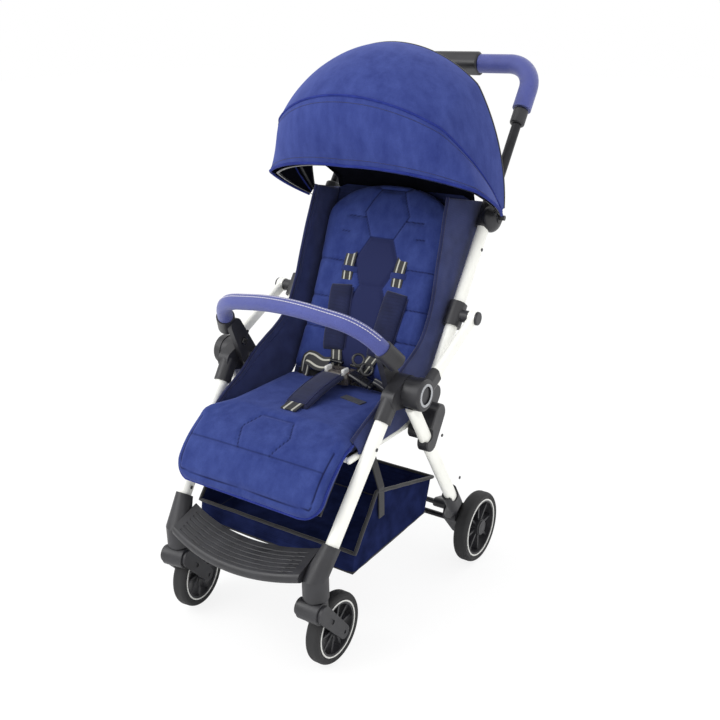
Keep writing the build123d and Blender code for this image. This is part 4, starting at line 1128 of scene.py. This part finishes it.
def capAt(name, middle, axis, radiusMm, highMm, key):
    # a domed disc with a rounded edge and a shallow ring pressed into its face
    bpy.ops.mesh.primitive_cylinder_add(vertices=40, radius=radiusMm * mm, depth=highMm * mm)
    piece = named(name)
    bpy.ops.object.mode_set(mode="EDIT")
    bpy.ops.mesh.select_all(action="DESELECT")
    bpy.ops.object.mode_set(mode="OBJECT")
    for face in piece.data.polygons:
        face.select = face.normal.z > 0.9
    bpy.ops.object.mode_set(mode="EDIT")
    for wide, deep in ((0.22, 0.0), (0.06, -0.15), (0.12, 0.15)):
        bpy.ops.mesh.inset(thickness=radiusMm * wide * mm, depth=highMm * deep * mm)
    bpy.ops.object.mode_set(mode="OBJECT")
    applyModifier(piece, "BEVEL", width=highMm * 0.16 * mm, segments=2, limit_method="ANGLE",
                  angle_limit=math.radians(35))
    piece.data.transform(facing(middle, axis))
    smooth(piece, 40)
    paint(piece, key)
    return piece


def makeBuckle():
    turn = Matrix.Rotation(seatSlope, 3, "X")
    tip = turn @ Matrix.Rotation(math.radians(20), 3, "Y")
    pieces = []
    for side, name in ((1, "Right"), (-1, "Left")):
        clip, slide = onSeat(side * 20, 196, 76), onSeat(side * 26, 232, 78)
        pieces.append(block("buckleClip" + name, clip, turn, (7, 20, 13), 2.6, "trim"))
        pieces.append(block("shoulderSlide" + name, slide, turn, (34, 10, 6), 2.2, "gloss"))
    pieces.append(block("buckleTongue", onSeat(52, 203, 64), tip, (50, 27, 11), 4.5, "gloss"))
    pieces.append(block("buckleMark", onSeat(31, 196, 73.5), tip, (5, 4, 2.0), 0.8, "red"))
    pieces.append(block("buckleSlide", onSeat(80, 206, 56), tip, (8, 34, 8), 2.4, "gloss"))
    axis = Vector((0.5, -0.7, 0.5)).normalized()
    for i, place in enumerate(((34, 222, 96), (58, 216, 82))):
        pieces.append(ringAt("strapRing%d" % i, onSeat(*place), axis, 11.0, 2.6, "gloss"))
    for piece in pieces:
        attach(piece, "front_frame")
    print("buckle made")


makeBuckle()


# white rings on both faces of every wheel, and caps on the rear hubs; faces lie reach from the middle
wheelSet = {
    "rear": {"reach": 13.4, "radius": 60.2, "tube": 1.7},
    "front": {"reach": 12.4, "radius": 51.8, "tube": 1.5},
    "capReach": 14.6, "capRadius": 15.5, "capHigh": 3.0,
}


def makeWheels():
    jointAxis = {joint["name"]: joint.get("axis") for joint in frame["joints"]}
    for side, sign in (("left", -1), ("right", 1)):
        for end in ("rear", "front"):
            wheel, sizes = end + "_wheel_" + side, wheelSet[end]
            middle = jointPlace[wheel + "_spin"]
            axis = Vector((sign, 0, 0)) if end == "rear" else Vector(jointAxis[wheel + "_spin"])
            for face, tag in ((1, "Outer"), (-1, "Inner")):
                place = middle + axis * face * sizes["reach"] * mm
                ring = ringAt(end + "Ring" + side.title() + tag, place, axis, sizes["radius"], sizes["tube"],
                              "trim")
                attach(ring, wheel)
            if end == "rear":
                place = middle + axis * wheelSet["capReach"] * mm
                cap = capAt("rearCap" + side.title(), place, axis, wheelSet["capRadius"],
                            wheelSet["capHigh"], "nylon")
                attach(cap, wheel)
    print("wheel rings made")


makeWheels()


# small black rivets on the white tubes
def makeRivets():
    top = inFrame(188, -182, 460)
    low = inFrame(172, -352, 240)
    rivets = []
    for sign in (-1, 1):
        outward = Vector((sign, 0, 0))
        spots = []  # a point on the tube's right, how far out of it, the face, the body and the radius
        for share, face in ((0.13, -1), (0.34, 1), (0.93, -1)):  # a face of 1 looks outward
            spots.append((top.lerp(low, share), face * 11.2, face, "front_frame", 3.4))
        for y, z in ((-85, 484), (60, 535)):
            spots.append((inFrame(221.6, y, z), 0.0, -1, "front_frame", 3.6))
        for z in (435, 663):
            lean = (z - 440) * math.tan(math.radians(36.4))
            spots.append((inFrame(190, -36 + lean, z), 12.0, 1, "upright", 3.4))
        for share in (0.3, 0.62):
            place = inFrame(222, -145 + 20 * 0.85 + 240 * share, 463 - 388 * share)
            spots.append((place, 0.2, 1, "rear_frame", 3.2))
        for place, out, face, body, radius in spots:
            middle = Vector((sign * (place.x + out * mm), place.y, place.z))
            rivets.append((middle, outward * face, body, radius))
    for i, (middle, axis, body, radius) in enumerate(rivets):
        rivet = capAt("rivet%02d" % i, middle, axis, radius, 1.6, "nylon")
        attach(rivet, body)
    print("rivets made:", len(rivets))


makeRivets()


# round covers over the hood's joints, and pale steel rings on the hub covers, partly a real grey ring and
# partly a painted highlight for the glint on the hub's rim
def makeJointCovers():
    for sign, name in ((1, "Right"), (-1, "Left")):
        bpy.ops.mesh.primitive_uv_sphere_add(segments=40, ring_count=20, radius=1.0)
        dome = named("hoodJointCover" + name)
        middle = Vector((sign * 200 * mm, hoodPivot.y, hoodPivot.z - 4 * mm))
        dome.data.transform(Matrix.Translation(middle) @ Matrix.Diagonal((0.019, 0.027, 0.027, 1.0)))
        smooth(dome)
        paint(dome, "nylon")
        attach(dome, "upright")
        face = Vector((sign * 237.6 * mm, hubPlace.y, hubPlace.z))
        # partly painted highlight: this pale ring also stands for the glint on the hub cover's rim
        ring = ringAt("hubRing" + name, face, Vector((sign, 0, 0)), 19.0, 2.8, "steel")
        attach(ring, "front_frame")
    print("joint covers made")


makeJointCovers()


# pale stitching along the bumper bar
stitchSet = {"pitch": 5.2, "long": 4.0, "thick": 0.8}


def stitchLine(name, points, body):
    # short thread stitches laid end to end along a line
    total = sum((b - a).length for a, b in zip(points, points[1:])) / mm
    count = int(total / stitchSet["pitch"])
    cover = stitchSet["long"] / stitchSet["pitch"]
    runs = [(along(points, i / count), along(points, (i + cover) / count)) for i in range(count)]
    piece = cordMesh(name, runs, stitchSet["thick"], 1)
    paint(piece, "thread")
    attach(piece, body)


def filletPath(points, radii):
    # straight runs joined by round corners of 14 steps
    path = [points[0]]
    for i in range(1, len(points) - 1):
        before = (points[i - 1] - points[i]).normalized()
        after = (points[i + 1] - points[i]).normalized()
        half = before.angle(after) / 2
        reach = radii[i - 1] / math.tan(half)
        middle = points[i] + (before + after).normalized() * (radii[i - 1] / math.sin(half))
        a, b = points[i] + before * reach - middle, points[i] + after * reach - middle
        path += [middle + a.slerp(b, k / 14) * a.length for k in range(15)]
    path.append(points[-1])
    return path


bumperSet = {
    "end": (188.0, -183.0, 538.0), "pitch": 54.0, "shoulder": (155.0, 73.0), "reach": 103.0, "radius": 15.0,
    "bends": (0.084, 0.380, 0.084), "stitchTilts": (-28.0, -2.0),
}


def bumperMiddle():
    pitch = math.radians(bumperSet["pitch"])
    end = bumperSet["end"]

    def at(x, reach):
        return inFrame(x, end[1] - math.cos(pitch) * reach, end[2] + math.sin(pitch) * reach)

    wide, bend = bumperSet["shoulder"]
    points = [at(end[0], 0), at(wide, bend), at(0, bumperSet["reach"]), at(-wide, bend), at(-end[0], 0)]
    return filletPath(points, bumperSet["bends"])


def makeStitches():
    pitch = math.radians(bumperSet["pitch"])
    face = Vector((0, -math.sin(pitch), -math.cos(pitch)))  # square to the bar's plane
    path = bumperMiddle()
    for k, tilt in enumerate(bumperSet["stitchTilts"]):
        turn = math.radians(tilt)
        line = []
        for i, place in enumerate(path):
            run = (path[min(i + 1, len(path) - 1)] - path[max(i - 1, 0)]).normalized()
            aside = run.cross(face).normalized() * math.cos(turn) + face * math.sin(turn)
            line.append(place + aside * (bumperSet["radius"] + 0.3) * mm)
        stitchLine("bumperStitch%d" % k, line[2:-2], "bumper")
    print("stitching made")


makeStitches()


# studio: pale floor, white surroundings, one large soft key and a fill
studioSet = {
    "world": 0.95, "floor": 1.05, "lift": 0.8,
    "lamps": (("keyLamp", (-1.5, -2.2, 2.8), 2.2, 58.0), ("fillLamp", (2.8, -1.2, 1.8), 2.4, 7.0),
              ("rimLamp", (0.6, 2.4, 2.4), 2.0, 12.0)),
}


def makeStudio():
    scene = bpy.context.scene
    bpy.ops.mesh.primitive_plane_add(size=30.0, location=(0, 0, 0))
    floor = named("studioFloor")
    # matt white paper
    shader = {"Roughness": 0.9, "Specular IOR Level": 0.1}
    material, tree, surface, _ = newMaterial("paperFloorWhite", shader)
    surface.inputs["Base Color"].default_value = linear("#F8F8F8")
    glow = addNode(tree, "ShaderNodeEmission", None, {"Color": (1, 1, 1, 1), "Strength": studioSet["floor"]})
    seen = addNode(tree, "ShaderNodeLightPath").outputs["Is Camera Ray"]
    lift = addMath(tree, "MULTIPLY", seen, studioSet["lift"])
    sources = {0: lift, 1: surface.outputs[0], 2: glow.outputs[0]}
    both = addNode(tree, "ShaderNodeMixShader", None, None, sources)
    tree.links.new(both.outputs[0], tree.nodes["Material Output"].inputs["Surface"])
    floor.data.materials.append(material)
    world = bpy.data.worlds.new("studioWorld")
    scene.world = world
    world.use_nodes = True
    tree = world.node_tree
    background = tree.nodes["Background"]
    rays = addNode(tree, "ShaderNodeLightPath")
    seen = addMath(tree, "MAXIMUM", rays.outputs["Is Camera Ray"], rays.outputs["Is Glossy Ray"])
    level = ramp(tree, seen, 0.0, 1.0, studioSet["world"], 1.0)
    background.inputs["Color"].default_value = (1, 1, 1, 1)
    tree.links.new(level, background.inputs["Strength"])
    for name, spot, size, power in studioSet["lamps"]:
        lamp = bpy.data.lights.new(name, "AREA")
        lamp.size = size
        lamp.energy = power
        holder = bpy.data.objects.new(name, lamp)
        scene.collection.objects.link(holder)
        holder.location = spot
        aim = Vector((0, 0, 0.5)) - Vector(spot)
        holder.rotation_euler = aim.to_track_quat("-Z", "Y").to_euler()
    scene.view_settings.view_transform = "Standard"


# the camera fitted to the photograph: angles in degrees, focal length in its pixels
cameraSet = {
    "turn": 34.01, "tip": 20.66, "roll": -0.92, "focal": 914.2, "width": 720, "high": 437, "away": 1.855,
}


def makeCamera():
    lens = bpy.data.cameras.new("photoCamera")
    lens.sensor_width = 36.0
    lens.lens = 36.0 * cameraSet["focal"] / cameraSet["width"]
    camera = bpy.data.objects.new("photoCamera", lens)
    bpy.context.scene.collection.objects.link(camera)
    turn, tip, roll = [math.radians(cameraSet[key]) for key in ("turn", "tip", "roll")]
    ahead = Vector((-math.sin(turn) * math.cos(tip), math.cos(turn) * math.cos(tip), -math.sin(tip)))
    level = Vector((math.cos(turn), math.sin(turn), 0))
    right = level * math.cos(roll) + level.cross(ahead) * math.sin(roll)
    up = right.cross(ahead)
    place = inFrame(0, 0, cameraSet["high"]) - ahead * cameraSet["away"]
    camera.matrix_world = Matrix.Translation(place) @ Matrix((right, up, -ahead)).transposed().to_4x4()
    bpy.context.scene.camera = camera


makeStudio()
makeCamera()
print("studio made")
